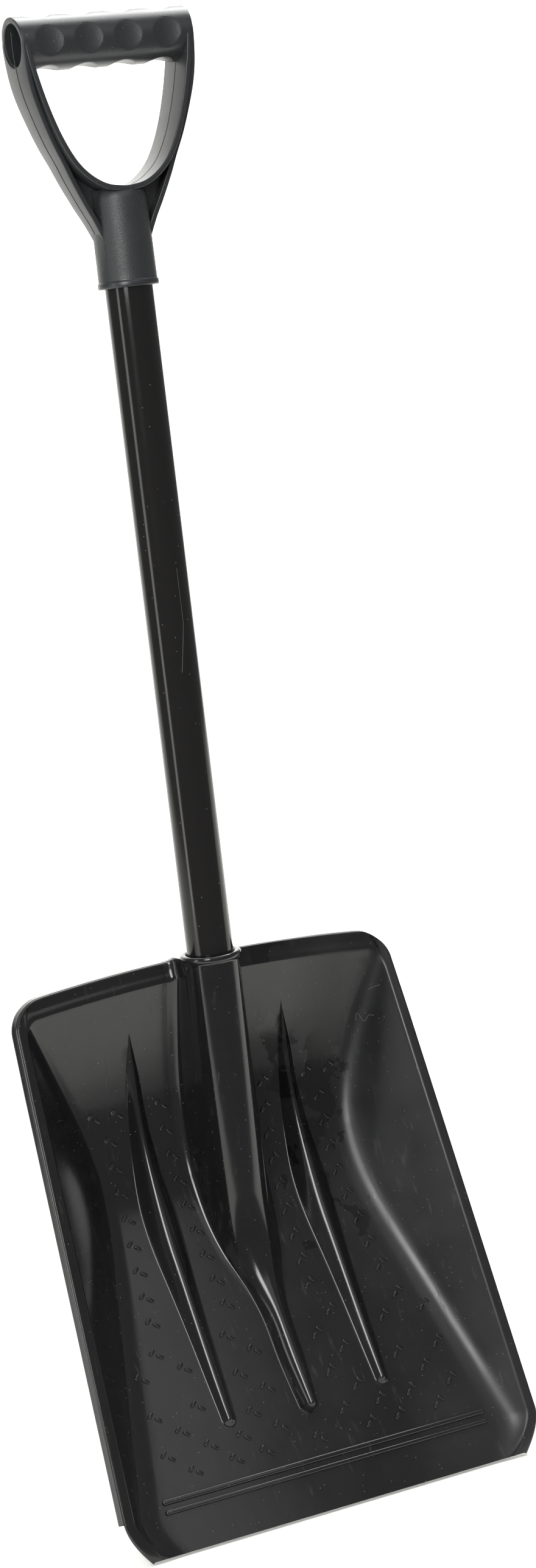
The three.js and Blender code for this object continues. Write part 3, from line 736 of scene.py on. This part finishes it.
def strap(path, half_deep, thickness, radius=0.55):
    """A flat bar on edge that follows a path of (x, z) points; half_deep(z) is half its depth along Y."""
    path = np.asarray(path, float)
    direction = np.gradient(path, axis=0)
    direction /= np.hypot(*direction.T)[:, None]
    normal = np.stack([direction[:, 1], -direction[:, 0]], 1)
    points = []
    for (x, z), (nx, nz) in zip(path, normal):
        deep = float(half_deep(z))
        for across, y in rounded_box_section(thickness / 2, deep, min(radius, 0.45 * deep)):
            points.append((x + nx * across, SHAFT_Y + y, z + nz * across))
    around = len(points) // len(path)
    faces = grid_faces(len(path), around, wrap_columns=True)
    faces.append(list(range(around))[::-1])
    faces.append(list(range((len(path) - 1) * around, len(path) * around)))
    return points, faces


def side_path(half, z0, z1, offset, count):
    """The right-hand side of an outline moved outwards by offset, from z0 up to z1."""
    z = z0 + (z1 - z0) * np.linspace(0, 1, 400) ** 2
    path = resample(np.stack([half(z), z], 1), 300)
    direction = np.gradient(path, axis=0)
    direction /= np.hypot(*direction.T)[:, None]
    normal = np.stack([direction[:, 1], -direction[:, 0]], 1)
    return resample(path + normal * offset, count)


def band_mesh():
    right = side_path(opening_half, 711.3, 790, GRIP_SHEET / 2, 90)
    left = right[::-1] * [-1, 1]
    path = resample(np.concatenate([left, right]), 170)
    for _ in range(3):
        path[1:-1] = (path[:-2] + 2 * path[1:-1] + path[2:]) / 4
    return strap(path, lambda z: CROSSBAR_RADIUS, GRIP_SHEET)


def strip_depth(z):
    wedge = np.interp(z, [STRIP_ROOT_Z, CROSSBAR_Z], [STRIP_ROOT, CROSSBAR_RADIUS])
    if z <= CROSSBAR_Z:
        return wedge
    return math.sqrt(max(CROSSBAR_RADIUS ** 2 - (z - CROSSBAR_Z) ** 2, 1.0))


def strip_mesh(hand):
    path = side_path(outline_half, 680, 803, -GRIP_SHEET / 2, 110)
    points, faces = strap(path, strip_depth, GRIP_SHEET)
    if hand < 0:
        points = [(-x, y, z) for x, y, z in points]
        faces = [face[::-1] for face in faces]
    return points, faces


def web_mesh():
    """The thin plate between the band and the strips, as one closed solid with the opening left out."""
    outline = side_path(outline_half, 683, 800, -1.0, 60)
    opening = side_path(opening_half, 710.4, 800, 1.0, 60)
    ring = np.concatenate([outline, opening[::-1], opening[1:] * [-1, 1], outline[::-1] * [-1, 1]])
    count = len(ring)
    points = [(x, y, z) for y in (SHAFT_Y - WEB_HALF, SHAFT_Y + WEB_HALF) for x, z in ring]
    faces = [list(range(count))[::-1], list(range(count, 2 * count))]
    faces += [[i, (i + 1) % count, count + (i + 1) % count, count + i] for i in range(count)]
    return points, faces


def crossbar_mesh():
    around = 132
    turn = np.arange(around) * 2 * math.pi / around
    edge = 0.7
    stations = []
    for k in range(5):
        angle = math.pi / 2 * k / 4
        stations.append((edge * (1 - math.sin(angle)), edge * (1 - math.cos(angle))))
    ends = [(inset, drop) for inset, drop in stations[::-1]]
    x_body = np.linspace(-CROSSBAR_HALF + edge, CROSSBAR_HALF - edge, 196)
    rings = [(-CROSSBAR_HALF + inset, drop) for inset, drop in ends]
    rings += [(x, 0.0) for x in x_body[1:-1]]
    rings += [(CROSSBAR_HALF - inset, drop) for inset, drop in ends[::-1]]
    points = []
    for x, drop in rings:
        dip = np.zeros(around)
        for row in range(4):
            away_turn = np.angle(np.exp(1j * (turn - row * math.pi / 2)))
            for i in range(4):
                away = np.hypot(x - (i - 1.5) * DIMPLE_PITCH, away_turn * CROSSBAR_RADIUS) / DIMPLE_RADIUS
                dip = np.maximum(dip, DIMPLE_DEPTH * (1 - away * away))
        radius = CROSSBAR_RADIUS - dip - drop
        y = radius * np.cos(turn)
        z = radius * np.sin(turn)
        lean = 1 + CROSSBAR_LEAN * z / CROSSBAR_HALF
        points.extend(zip(x * lean, SHAFT_Y + y, CROSSBAR_Z + z))
    for hand in (1, -1):
        for radius, inset in ((CROSSBAR_BORE + 0.5, 0.0), (CROSSBAR_BORE, 0.5))[::hand]:
            y = radius * np.cos(turn)
            z = radius * np.sin(turn)
            x = hand * (CROSSBAR_HALF - inset + CROSSBAR_LEAN * z)
            points.extend(zip(x, SHAFT_Y + y, CROSSBAR_Z + z))
    count = len(points) // around
    return points, grid_faces(count, around, wrap_rows=True, wrap_columns=True)


def along_x(points):
    """Turns a lathe about Z at the origin into one about X at the crossbar's middle."""
    return [(z, SHAFT_Y + x, CROSSBAR_Z + y) for x, y, z in points]


def socket_mesh():
    z = GRIP_COLLAR_Z
    rim = GRIP_COLLAR_RADIUS
    foot = GRIP_SOCKET_FOOT_RADIUS
    top = GRIP_SOCKET_TOP_RADIUS
    return lathe([
        (0, z), (rim - 0.7, z), (rim - 0.3, z + 0.12), (rim - 0.05, z + 0.5), (rim, z + 1.2),
        (rim, z + 2.4), (rim - 0.1, z + 3.0), (rim - 0.4, z + 3.4), (foot + 0.15, z + 3.6),
        (foot + 0.05, z + 4.4), (foot, z + 8), (top, 705), (top - 0.3, 708), (top - 2, 710.6), (0, 710.6),
    ], 112)


EJECTOR_X = -20.5
EJECTOR_Z = 706
EJECTOR_RADIUS = 2.2
PARTING_WIDTH = 0.35
WEB_FRONT_Y = SHAFT_Y - WEB_HALF


def along_y(points, x, y, z):
    """Points of a shape turned about Z, laid over so that its axis points forwards."""
    return [(x + px, y - pz, z + py) for px, py, pz in points]


def grip_marks():
    """Parting lines on the band and strips, the line where the web meets the socket and an ejector ring."""
    parts = []
    inner = side_path(opening_half, 712.5, 776, 0.0, 70)
    outer = side_path(outline_half, 688, 796, 0.05, 70)
    for path in (inner, outer):
        line, faces = strap(path, lambda z: 0.45 * PARTING_WIDTH, PARTING_WIDTH, 0.05)
        parts.append((line, faces))
        parts.append(([(-x, y, z) for x, y, z in line], [face[::-1] for face in faces]))
    for hand in (-1, 1):
        x = hand * (GRIP_SOCKET_FOOT_RADIUS + 0.25)
        parts.append(box_mesh(x - 0.3, x + 0.3, WEB_FRONT_Y - 0.5, WEB_FRONT_Y + 0.2, 689, 709))
    ring, faces = lathe([
        (EJECTOR_RADIUS - 0.5, 0.02), (EJECTOR_RADIUS - 0.4, 0.22), (EJECTOR_RADIUS - 0.05, 0.22),
        (EJECTOR_RADIUS, -0.2), (0, -0.2)][::-1] + [(0, 0.02)], 32, (0, 0))
    parts.append((along_y(ring, EJECTOR_X, WEB_FRONT_Y, EJECTOR_Z), faces))
    return merge(parts)


def make_grip():
    body = new_object("grip_body", *band_mesh())
    pieces = [new_object("strip", *strip_mesh(1)), new_object("strip", *strip_mesh(-1)),
              new_object("web", *web_mesh()), new_object("socket", *socket_mesh())]
    combine(body, pieces, "UNION")
    core_radius = CROSSBAR_RADIUS - 2.5
    core_points, core_faces = lathe([(0, -70), (core_radius, -70), (core_radius, 70), (0, 70)], 64, (0, 0))
    combine(body, [new_object("core", along_x(core_points), core_faces)], "DIFFERENCE")
    combine(body, [new_object("bar", *crossbar_mesh())], "UNION")
    bore = new_object("bore", *lathe([
        (0, GRIP_COLLAR_Z - 10), (BORE_RADIUS, GRIP_COLLAR_Z - 10), (BORE_RADIUS, SHAFT_TOP_Z + CLEARANCE),
        (0, SHAFT_TOP_Z + CLEARANCE)], 96))
    hole = new_object("hole", *cross_rod(SCREW_SHANK + CLEARANCE, SHAFT_Y, SHAFT_Y + 40, GRIP_SCREW_Z))
    combine(body, [bore, hole], "DIFFERENCE")
    join_meshes(body, [new_object("marks", *grip_marks())])
    finish_shading(body.data, 32)
    return body


blade = make_blade()
grip = make_grip()


# ---------------------------------------------------------------- shaft and screws


def make_tube(name, outer, inner, z0, z1):
    edge = 0.15
    segments = 160
    profile = [
        (0, z0), (outer - edge, z0), (outer, z0 + edge), (outer, z1 - edge), (outer - edge, z1), (0, z1),
    ]
    solid = new_object(name, *lathe(profile, segments))
    cuts = [new_object("cut", *lathe([(0, z0 - 1), (inner, z0 - 1), (inner, z1 + 1), (0, z1 + 1)], segments))]
    for z in (BLADE_SCREW_Z, GRIP_SCREW_Z):
        cuts.append(new_object("cut", *cross_rod(SCREW_SHANK + CLEARANCE, SHAFT_Y, SHAFT_Y + 40, z)))
    combine(solid, cuts, "DIFFERENCE")
    join_meshes(solid, [scratch(outer)])
    finish_shading(solid.data, 40)
    return solid


SCRATCH_HALF = 0.1
SCRATCH_TOP_Z = 507
SCRATCH_BEND_Z = 477
SCRATCH_FOOT_Z = 451
SCRATCH_ANGLE = 9.5
SCRATCH_SLANT = 0.72


def scratch(radius):
    """A hairline scratch on the skin's front: straight down to its bend, then slanting round to the left."""
    path = []
    for z in np.linspace(SCRATCH_TOP_Z, SCRATCH_FOOT_Z, 60):
        turn = math.radians(SCRATCH_ANGLE - SCRATCH_SLANT * max(0, SCRATCH_BEND_Z - z))
        path.append((radius * math.sin(turn), SHAFT_Y - radius * math.cos(turn), z))
    return thread("scratch", path, SCRATCH_HALF)


def make_screw(name, seat_y, z, length=12):
    """A pan-head self-tapping screw driven towards -Y, with a cross recess and a coarse thread."""
    head = [
        (0, -length), (0.5, -length + 1.2), (SCREW_SHANK - 0.5, -length + 4), (SCREW_SHANK - 0.5, -0.8),
        (SCREW_SHANK, 0), (SCREW_HEAD - 0.1, 0), (SCREW_HEAD, 0.15), (SCREW_HEAD, 1.0),
        (SCREW_HEAD - 0.2, 1.6), (SCREW_HEAD - 0.8, 2.2), (SCREW_HEAD - 1.8, 2.6), (0, 2.8),
    ]
    points, faces = lathe(head, 64, (0, 0))
    screw = new_object(name, points, faces)
    for k in range(2):
        wide, narrow = 2.3, 0.42
        half_x, half_y = (wide, narrow) if k == 0 else (narrow, wide)
        slot = [(sx * half_x * share, sy * half_y * share, along)
                for share, along in ((1.0, 4.0), (0.55, 0.9))
                for sx, sy in ((-1, -1), (1, -1), (1, 1), (-1, 1))]
        slot_faces = [[0, 1, 2, 3], [4, 5, 6, 7]]
        slot_faces += [[i, (i + 1) % 4, 4 + (i + 1) % 4, 4 + i] for i in range(4)]
        combine(screw, [new_object("slot", slot, slot_faces)], "DIFFERENCE")
    turns = 6
    steps = 24
    ridge = []
    for i in range(turns * steps + 1):
        angle = 2 * math.pi * i / steps
        along = -1.5 - 1.2 * i / steps
        for radius, shift in ((SCREW_SHANK - 0.6, -0.32), (SCREW_SHANK - 0.02, 0), (SCREW_SHANK - 0.6, 0.32)):
            ridge.append((radius * math.cos(angle), radius * math.sin(angle), along + shift))
    ridge_faces = grid_faces(turns * steps + 1, 3, wrap_columns=True)
    ridge_faces += [[2, 1, 0], [len(ridge) - 3, len(ridge) - 2, len(ridge) - 1]]
    join_meshes(screw, [new_object("thread", ridge, ridge_faces)])
    laid_over = Matrix.Rotation(-math.pi / 2, 4, "X")
    screw.data.transform(Matrix.Translation((0, seat_y * MM, z * MM)) @ laid_over)
    finish_shading(screw.data, 35)
    return screw


skin = make_tube("shaft_sleeve", SHAFT_RADIUS, SHAFT_RADIUS - SKIN, SHAFT_BOTTOM_Z, SHAFT_TOP_Z)
blade_screw = make_screw("blade_fastener", SHAFT_Y + SOCKET_RADIUS - 0.2, BLADE_SCREW_Z)
grip_screw = make_screw("grip_fastener", SHAFT_Y + GRIP_SOCKET_FOOT_RADIUS + CLEARANCE, GRIP_SCREW_Z)

# ---------------------------------------------------------------- materials


SPECK_RARITY = 0.72


class Nodes:
    """A short way to write a material's nodes."""

    def __init__(self, name):
        self.material = bpy.data.materials.new(name)
        self.material.use_nodes = True
        self.tree = self.material.node_tree
        self.shader = self.tree.nodes["Principled BSDF"]
        self.place = self.tree.nodes.new("ShaderNodeTexCoord").outputs["Object"]

    def add(self, kind, inputs=None, **settings):
        node = self.tree.nodes.new(kind)
        for key, value in settings.items():
            setattr(node, key, value)
        for key, value in (inputs or {}).items():
            if hasattr(value, "links"):
                self.tree.links.new(value, node.inputs[key])
            else:
                node.inputs[key].default_value = value
        return node

    def set(self, **inputs):
        for key, value in inputs.items():
            socket = self.shader.inputs[key.replace("_", " ")]
            if hasattr(value, "links"):
                self.tree.links.new(value, socket)
            else:
                socket.default_value = value

    def stretched(self, scale, turn=(0, 0, 0)):
        inputs = {"Vector": self.place, "Scale": scale, "Rotation": turn}
        return self.add("ShaderNodeMapping", inputs).outputs[0]

    def noise(self, scale, detail=3, rough=0.55, at=None, distortion=0.0):
        inputs = {"Vector": at or self.place, "Scale": scale, "Detail": detail, "Roughness": rough,
                  "Distortion": distortion}
        return self.add("ShaderNodeTexNoise", inputs).outputs["Fac"]

    def remap(self, value, low, high, to_low=0.0, to_high=1.0):
        inputs = {"Value": value, "From Min": low, "From Max": high, "To Min": to_low, "To Max": to_high}
        return self.add("ShaderNodeMapRange", inputs).outputs[0]

    def math(self, operation, a, b=0.0):
        return self.add("ShaderNodeMath", {0: a, 1: b}, operation=operation).outputs[0]

    def mix(self, share, a, b):
        node = self.add("ShaderNodeMix", {"Factor": share}, data_type="RGBA")
        for socket, value in ((node.inputs[6], a), (node.inputs[7], b)):
            if hasattr(value, "links"):
                self.tree.links.new(value, socket)
            else:
                socket.default_value = (*value, 1)
        return node.outputs[2]

    def bump(self, height, distance, strength=1.0, normal=None):
        inputs = {"Height": height, "Distance": distance, "Strength": strength}
        if normal:
            inputs["Normal"] = normal
        return self.add("ShaderNodeBump", inputs).outputs[0]

    def specks(self, scale, size):
        """1 on scattered specks, whose size is a share of the cell's."""
        cell = self.add("ShaderNodeTexVoronoi", {"Vector": self.place, "Scale": scale, "Randomness": 1.0})
        spot = self.math("LESS_THAN", cell.outputs["Distance"], size)
        rare = self.add("ShaderNodeSeparateColor", {0: cell.outputs["Color"]}).outputs[0]
        return self.math("MULTIPLY", spot, self.math("GREATER_THAN", rare, SPECK_RARITY))


def blade_material():
    m = Nodes("moulded_black")
    broad = m.noise(9, 3)
    cloud = m.noise(28, 4, distortion=0.4)
    fine = m.noise(900, 2)
    specks = m.specks(420, 0.09)
    scuff = m.remap(m.noise(60, 4, at=m.stretched((6, 1, 1), (0, 0.5, 0.3))), 0.62, 0.75)
    dull = m.math("MULTIPLY", m.remap(cloud, 0.35, 0.7), 0.05)
    rough = m.math("ADD", m.remap(broad, 0.3, 0.7, 0.11, 0.15), dull)
    rough = m.math("ADD", rough, m.math("MULTIPLY", scuff, 0.12))
    rough = m.math("ADD", rough, m.math("MULTIPLY", specks, 0.4))
    base = m.mix(cloud, (0.0068, 0.0068, 0.0066), (0.0105, 0.0108, 0.0115))
    base = m.mix(m.math("MULTIPLY", scuff, 0.5), base, (0.03, 0.03, 0.032))
    base = m.mix(specks, base, (0.16, 0.16, 0.155))
    # Dark wet blotches right of the middle, and a worn right-hand wall.
    axes = m.add("ShaderNodeSeparateXYZ", {0: m.place}).outputs
    inside = m.math("MULTIPLY", m.math("GREATER_THAN", axes[0], 0.03), m.math("LESS_THAN", axes[0], 0.085))
    inside = m.math("MULTIPLY", inside, m.math("GREATER_THAN", axes[2], 0.12))
    wet = m.math("MULTIPLY", inside, m.math("GREATER_THAN", m.noise(42, 4, 0.6), 0.56))
    base = m.mix(wet, base, (0.004, 0.004, 0.004))
    base = m.mix(m.add("ShaderNodeAttribute", attribute_name="pale").outputs["Fac"], base, (0.16, 0.16, 0.15))
    rough = m.math("MULTIPLY", rough, m.remap(wet, 0, 1, 1.0, 0.6))
    worn = m.math("MULTIPLY", m.remap(axes[0], 0.05, 0.08), m.remap(m.noise(14, 3), 0.3, 0.6, 0.6, 1.0))
    rough = m.math("ADD", rough, m.math("MULTIPLY", worn, 0.2))
    m.set(Base_Color=base, Roughness=rough, IOR=1.5)
    wave = m.bump(m.noise(34, 2), 0.0005, 0.12)
    m.set(Normal=m.bump(fine, 0.00004, 0.12, wave))
    return m.material


def grip_material():
    m = Nodes("moulded_grey")
    grain_share = m.add("ShaderNodeAttribute", attribute_name="grain").outputs["Fac"]
    coarse = m.noise(1500, 2, 0.6)
    fine = m.noise(4200, 2, 0.6)
    broad = m.noise(40, 3)
    specks = m.specks(520, 0.1)
    base = m.mix(broad, (0.023, 0.0245, 0.026), (0.028, 0.0295, 0.031))
    base = m.mix(m.math("MULTIPLY", m.remap(coarse, 0.55, 0.8), 0.2), base, (0.05, 0.052, 0.055))
    base = m.mix(specks, base, (0.2, 0.2, 0.195))
    rough = m.math("ADD", m.remap(broad, 0.3, 0.7, 0.30, 0.36), m.math("MULTIPLY", grain_share, 0.05))
    m.set(Base_Color=base, Roughness=rough, IOR=1.5)
    depth = m.remap(grain_share, 0, 1, 0.12, 1.2)
    grain = m.math("MULTIPLY", m.math("ADD", coarse, m.math("MULTIPLY", fine, 0.4)), depth)
    m.set(Normal=m.bump(grain, 0.00018, 0.6))
    return m.material


def skin_material():
    m = Nodes("drawn_skin")
    lines = m.noise(1, 4, 0.6, at=m.stretched((900, 900, 4)))
    broad = m.noise(30, 3)
    specks = m.specks(360, 0.08)
    pale = m.add("ShaderNodeAttribute", attribute_name="pale").outputs["Fac"]
    base = m.mix(specks, (0.0095, 0.0088, 0.0085), (0.2, 0.2, 0.19))
    base = m.mix(pale, base, (0.13, 0.13, 0.12))
    rough = m.math("ADD", m.remap(broad, 0.3, 0.7, 0.07, 0.12), m.math("MULTIPLY", specks, 0.4))
    m.set(Base_Color=base, Roughness=rough, IOR=1.45)
    m.set(Normal=m.bump(lines, 0.00006, 0.35))
    return m.material


def steel_material():
    m = Nodes("zinc_plate")
    brushed = m.noise(1, 3, at=m.stretched((2500, 2500, 60)))
    tone = m.noise(70, 3)
    m.set(Base_Color=m.mix(tone, (0.5, 0.5, 0.51), (0.62, 0.62, 0.62)), Metallic=1.0)
    m.set(Roughness=m.remap(tone, 0.3, 0.7, 0.28, 0.4), Normal=m.bump(brushed, 0.00005, 0.4))
    return m.material


def mark_grain(obj):
    """Writes 1 where the moulding is grained, on the socket and in the finger dimples, and 0 elsewhere."""
    mesh = obj.data
    co = np.zeros(len(mesh.vertices) * 3)
    mesh.vertices.foreach_get("co", co)
    x, y, z = co.reshape(-1, 3).T / MM
    from_shaft = np.hypot(x, y - SHAFT_Y)
    from_bar = np.hypot(y - SHAFT_Y, z - CROSSBAR_Z)
    socket = (z < 708) & (from_shaft > 15) & (from_shaft < 15.9) & (z > GRIP_COLLAR_Z + 4)
    dimple = (from_bar < CROSSBAR_RADIUS - 0.05) & (from_bar > CROSSBAR_BORE + 1)
    dimple &= np.abs(x) < CROSSBAR_HALF - 2
    grain = mesh.attributes.new("grain", "FLOAT", "POINT")
    grain.data.foreach_set("value", (socket | dimple).astype(float))


def dress(obj, material, node):
    obj.data.materials.clear()
    obj.data.materials.append(material)
    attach(obj, "root")
    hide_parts(node)


mark_grain(grip)
steel = steel_material()
dress(blade, blade_material(), "blade")
dress(grip, grip_material(), "d_grip")
dress(skin, skin_material(), "shaft_skin")
dress(blade_screw, steel, "blade_screw")
dress(grip_screw, steel, "grip_screw")
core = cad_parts["shaft_tube"]
for place in core.material_slots:
    place.material = steel

# ---------------------------------------------------------------- floor, light and camera

# The floor in millimetres: its front edge, its sides, where it starts to curve up and the backdrop's top.
FLOOR_FRONT = 390
FLOOR_SIDES = (-2200, 3400)
FLOOR_Z = -1.0
FLOOR_BACK = 1500
SWEEP_RADIUS = 1500
BACKDROP_TOP = 7000
ROOM_LIGHT = 0.24


def make_floor():
    """A pale floor that curves up far behind the object into a plain backdrop."""
    profile = [(-FLOOR_FRONT, FLOOR_Z), (FLOOR_BACK, FLOOR_Z)]
    for a in np.linspace(0, math.pi / 2, 24)[1:]:
        profile.append((FLOOR_BACK + SWEEP_RADIUS * math.sin(a), FLOOR_Z + SWEEP_RADIUS * (1 - math.cos(a))))
    profile.append((FLOOR_BACK + SWEEP_RADIUS, BACKDROP_TOP))
    points = [(x, y, height) for y, height in profile for x in FLOOR_SIDES]
    floor = new_object("studio_floor", points, grid_faces(len(profile), 2))
    m = Nodes("pale_floor")
    tone = m.noise(3, 2)
    m.set(Base_Color=m.mix(tone, (0.935, 0.935, 0.905), (0.955, 0.955, 0.925)), Roughness=0.9)
    floor.data.materials.append(m.material)


def area_light(name, place, target, size, power):
    """A soft white rectangle of light at place, aimed at target. It isn't seen by the camera."""
    data = bpy.data.lights.new(name, "AREA")
    data.shape = "RECTANGLE"
    data.size, data.size_y = size
    data.energy = power
    light = bpy.data.objects.new(name, data)
    bpy.context.scene.collection.objects.link(light)
    light.location = place
    light.visible_camera = False
    light.rotation_mode = "QUATERNION"
    light.rotation_quaternion = (Vector(target) - Vector(place)).to_track_quat("-Z", "Y")


def make_light():
    """A dim room, two lights above the floor and backdrop, and three soft boxes in front and on the left."""
    world = bpy.data.worlds.new("studio")
    world.use_nodes = True
    bpy.context.scene.world = world
    background = world.node_tree.nodes["Background"]
    background.inputs["Color"].default_value = (1, 1, 1, 1)
    background.inputs["Strength"].default_value = ROOM_LIGHT
    area_light("overhead", (0.7, 1.0, 2.8), (0.7, 1.0, 0), (2.4, 2.4), 112)
    area_light("backdrop_wash", (0.9, 1.2, 3.2), (1.1, 3.2, 1.0), (2.6, 0.8), 95)
    area_light("key_box", (-1.06, -1.26, 1.1), (0, 0.05, 0.15), (0.55, 0.9), 20)
    area_light("front_box", (0.0, -1.45, 1.65), (0, 0.05, 0.15), (1.7, 1.1), 5.8)
    area_light("strip_box", (-1.66, -0.14, 0.66), (0, 0.09, 0.4), (0.3, 1.6), 5.0)
    bpy.context.scene.view_settings.view_transform = "Standard"


CAMERA_PLACE = (-0.7012, -1.4886, 0.6241)
CAMERA_AZIMUTH = math.radians(-25.4)
CAMERA_ELEVATION = math.radians(7.94)
CAMERA_ROLL = math.radians(-6.78)
CAMERA_LENS = 73.2


def make_camera():
    """The camera, from where it stands and the three turns of its head."""
    level = math.cos(CAMERA_ELEVATION)
    level_x = math.sin(CAMERA_AZIMUTH) * level
    level_y = -math.cos(CAMERA_AZIMUTH) * level
    back = Vector((level_x, level_y, math.sin(CAMERA_ELEVATION)))
    right = Vector((math.cos(CAMERA_AZIMUTH), math.sin(CAMERA_AZIMUTH), 0))
    up = back.cross(right)
    side = right * math.cos(CAMERA_ROLL) + up * math.sin(CAMERA_ROLL)
    above = up * math.cos(CAMERA_ROLL) - right * math.sin(CAMERA_ROLL)
    data = bpy.data.cameras.new("camera")
    data.lens = CAMERA_LENS
    data.sensor_width = 36
    data.clip_end = 50
    camera = bpy.data.objects.new("camera", data)
    turned = Matrix((side, above, back)).transposed().to_4x4()
    camera.matrix_world = Matrix.Translation(CAMERA_PLACE) @ turned
    bpy.context.scene.collection.objects.link(camera)
    bpy.context.scene.camera = camera


make_floor()
make_light()
make_camera()

bpy.context.view_layer.update()
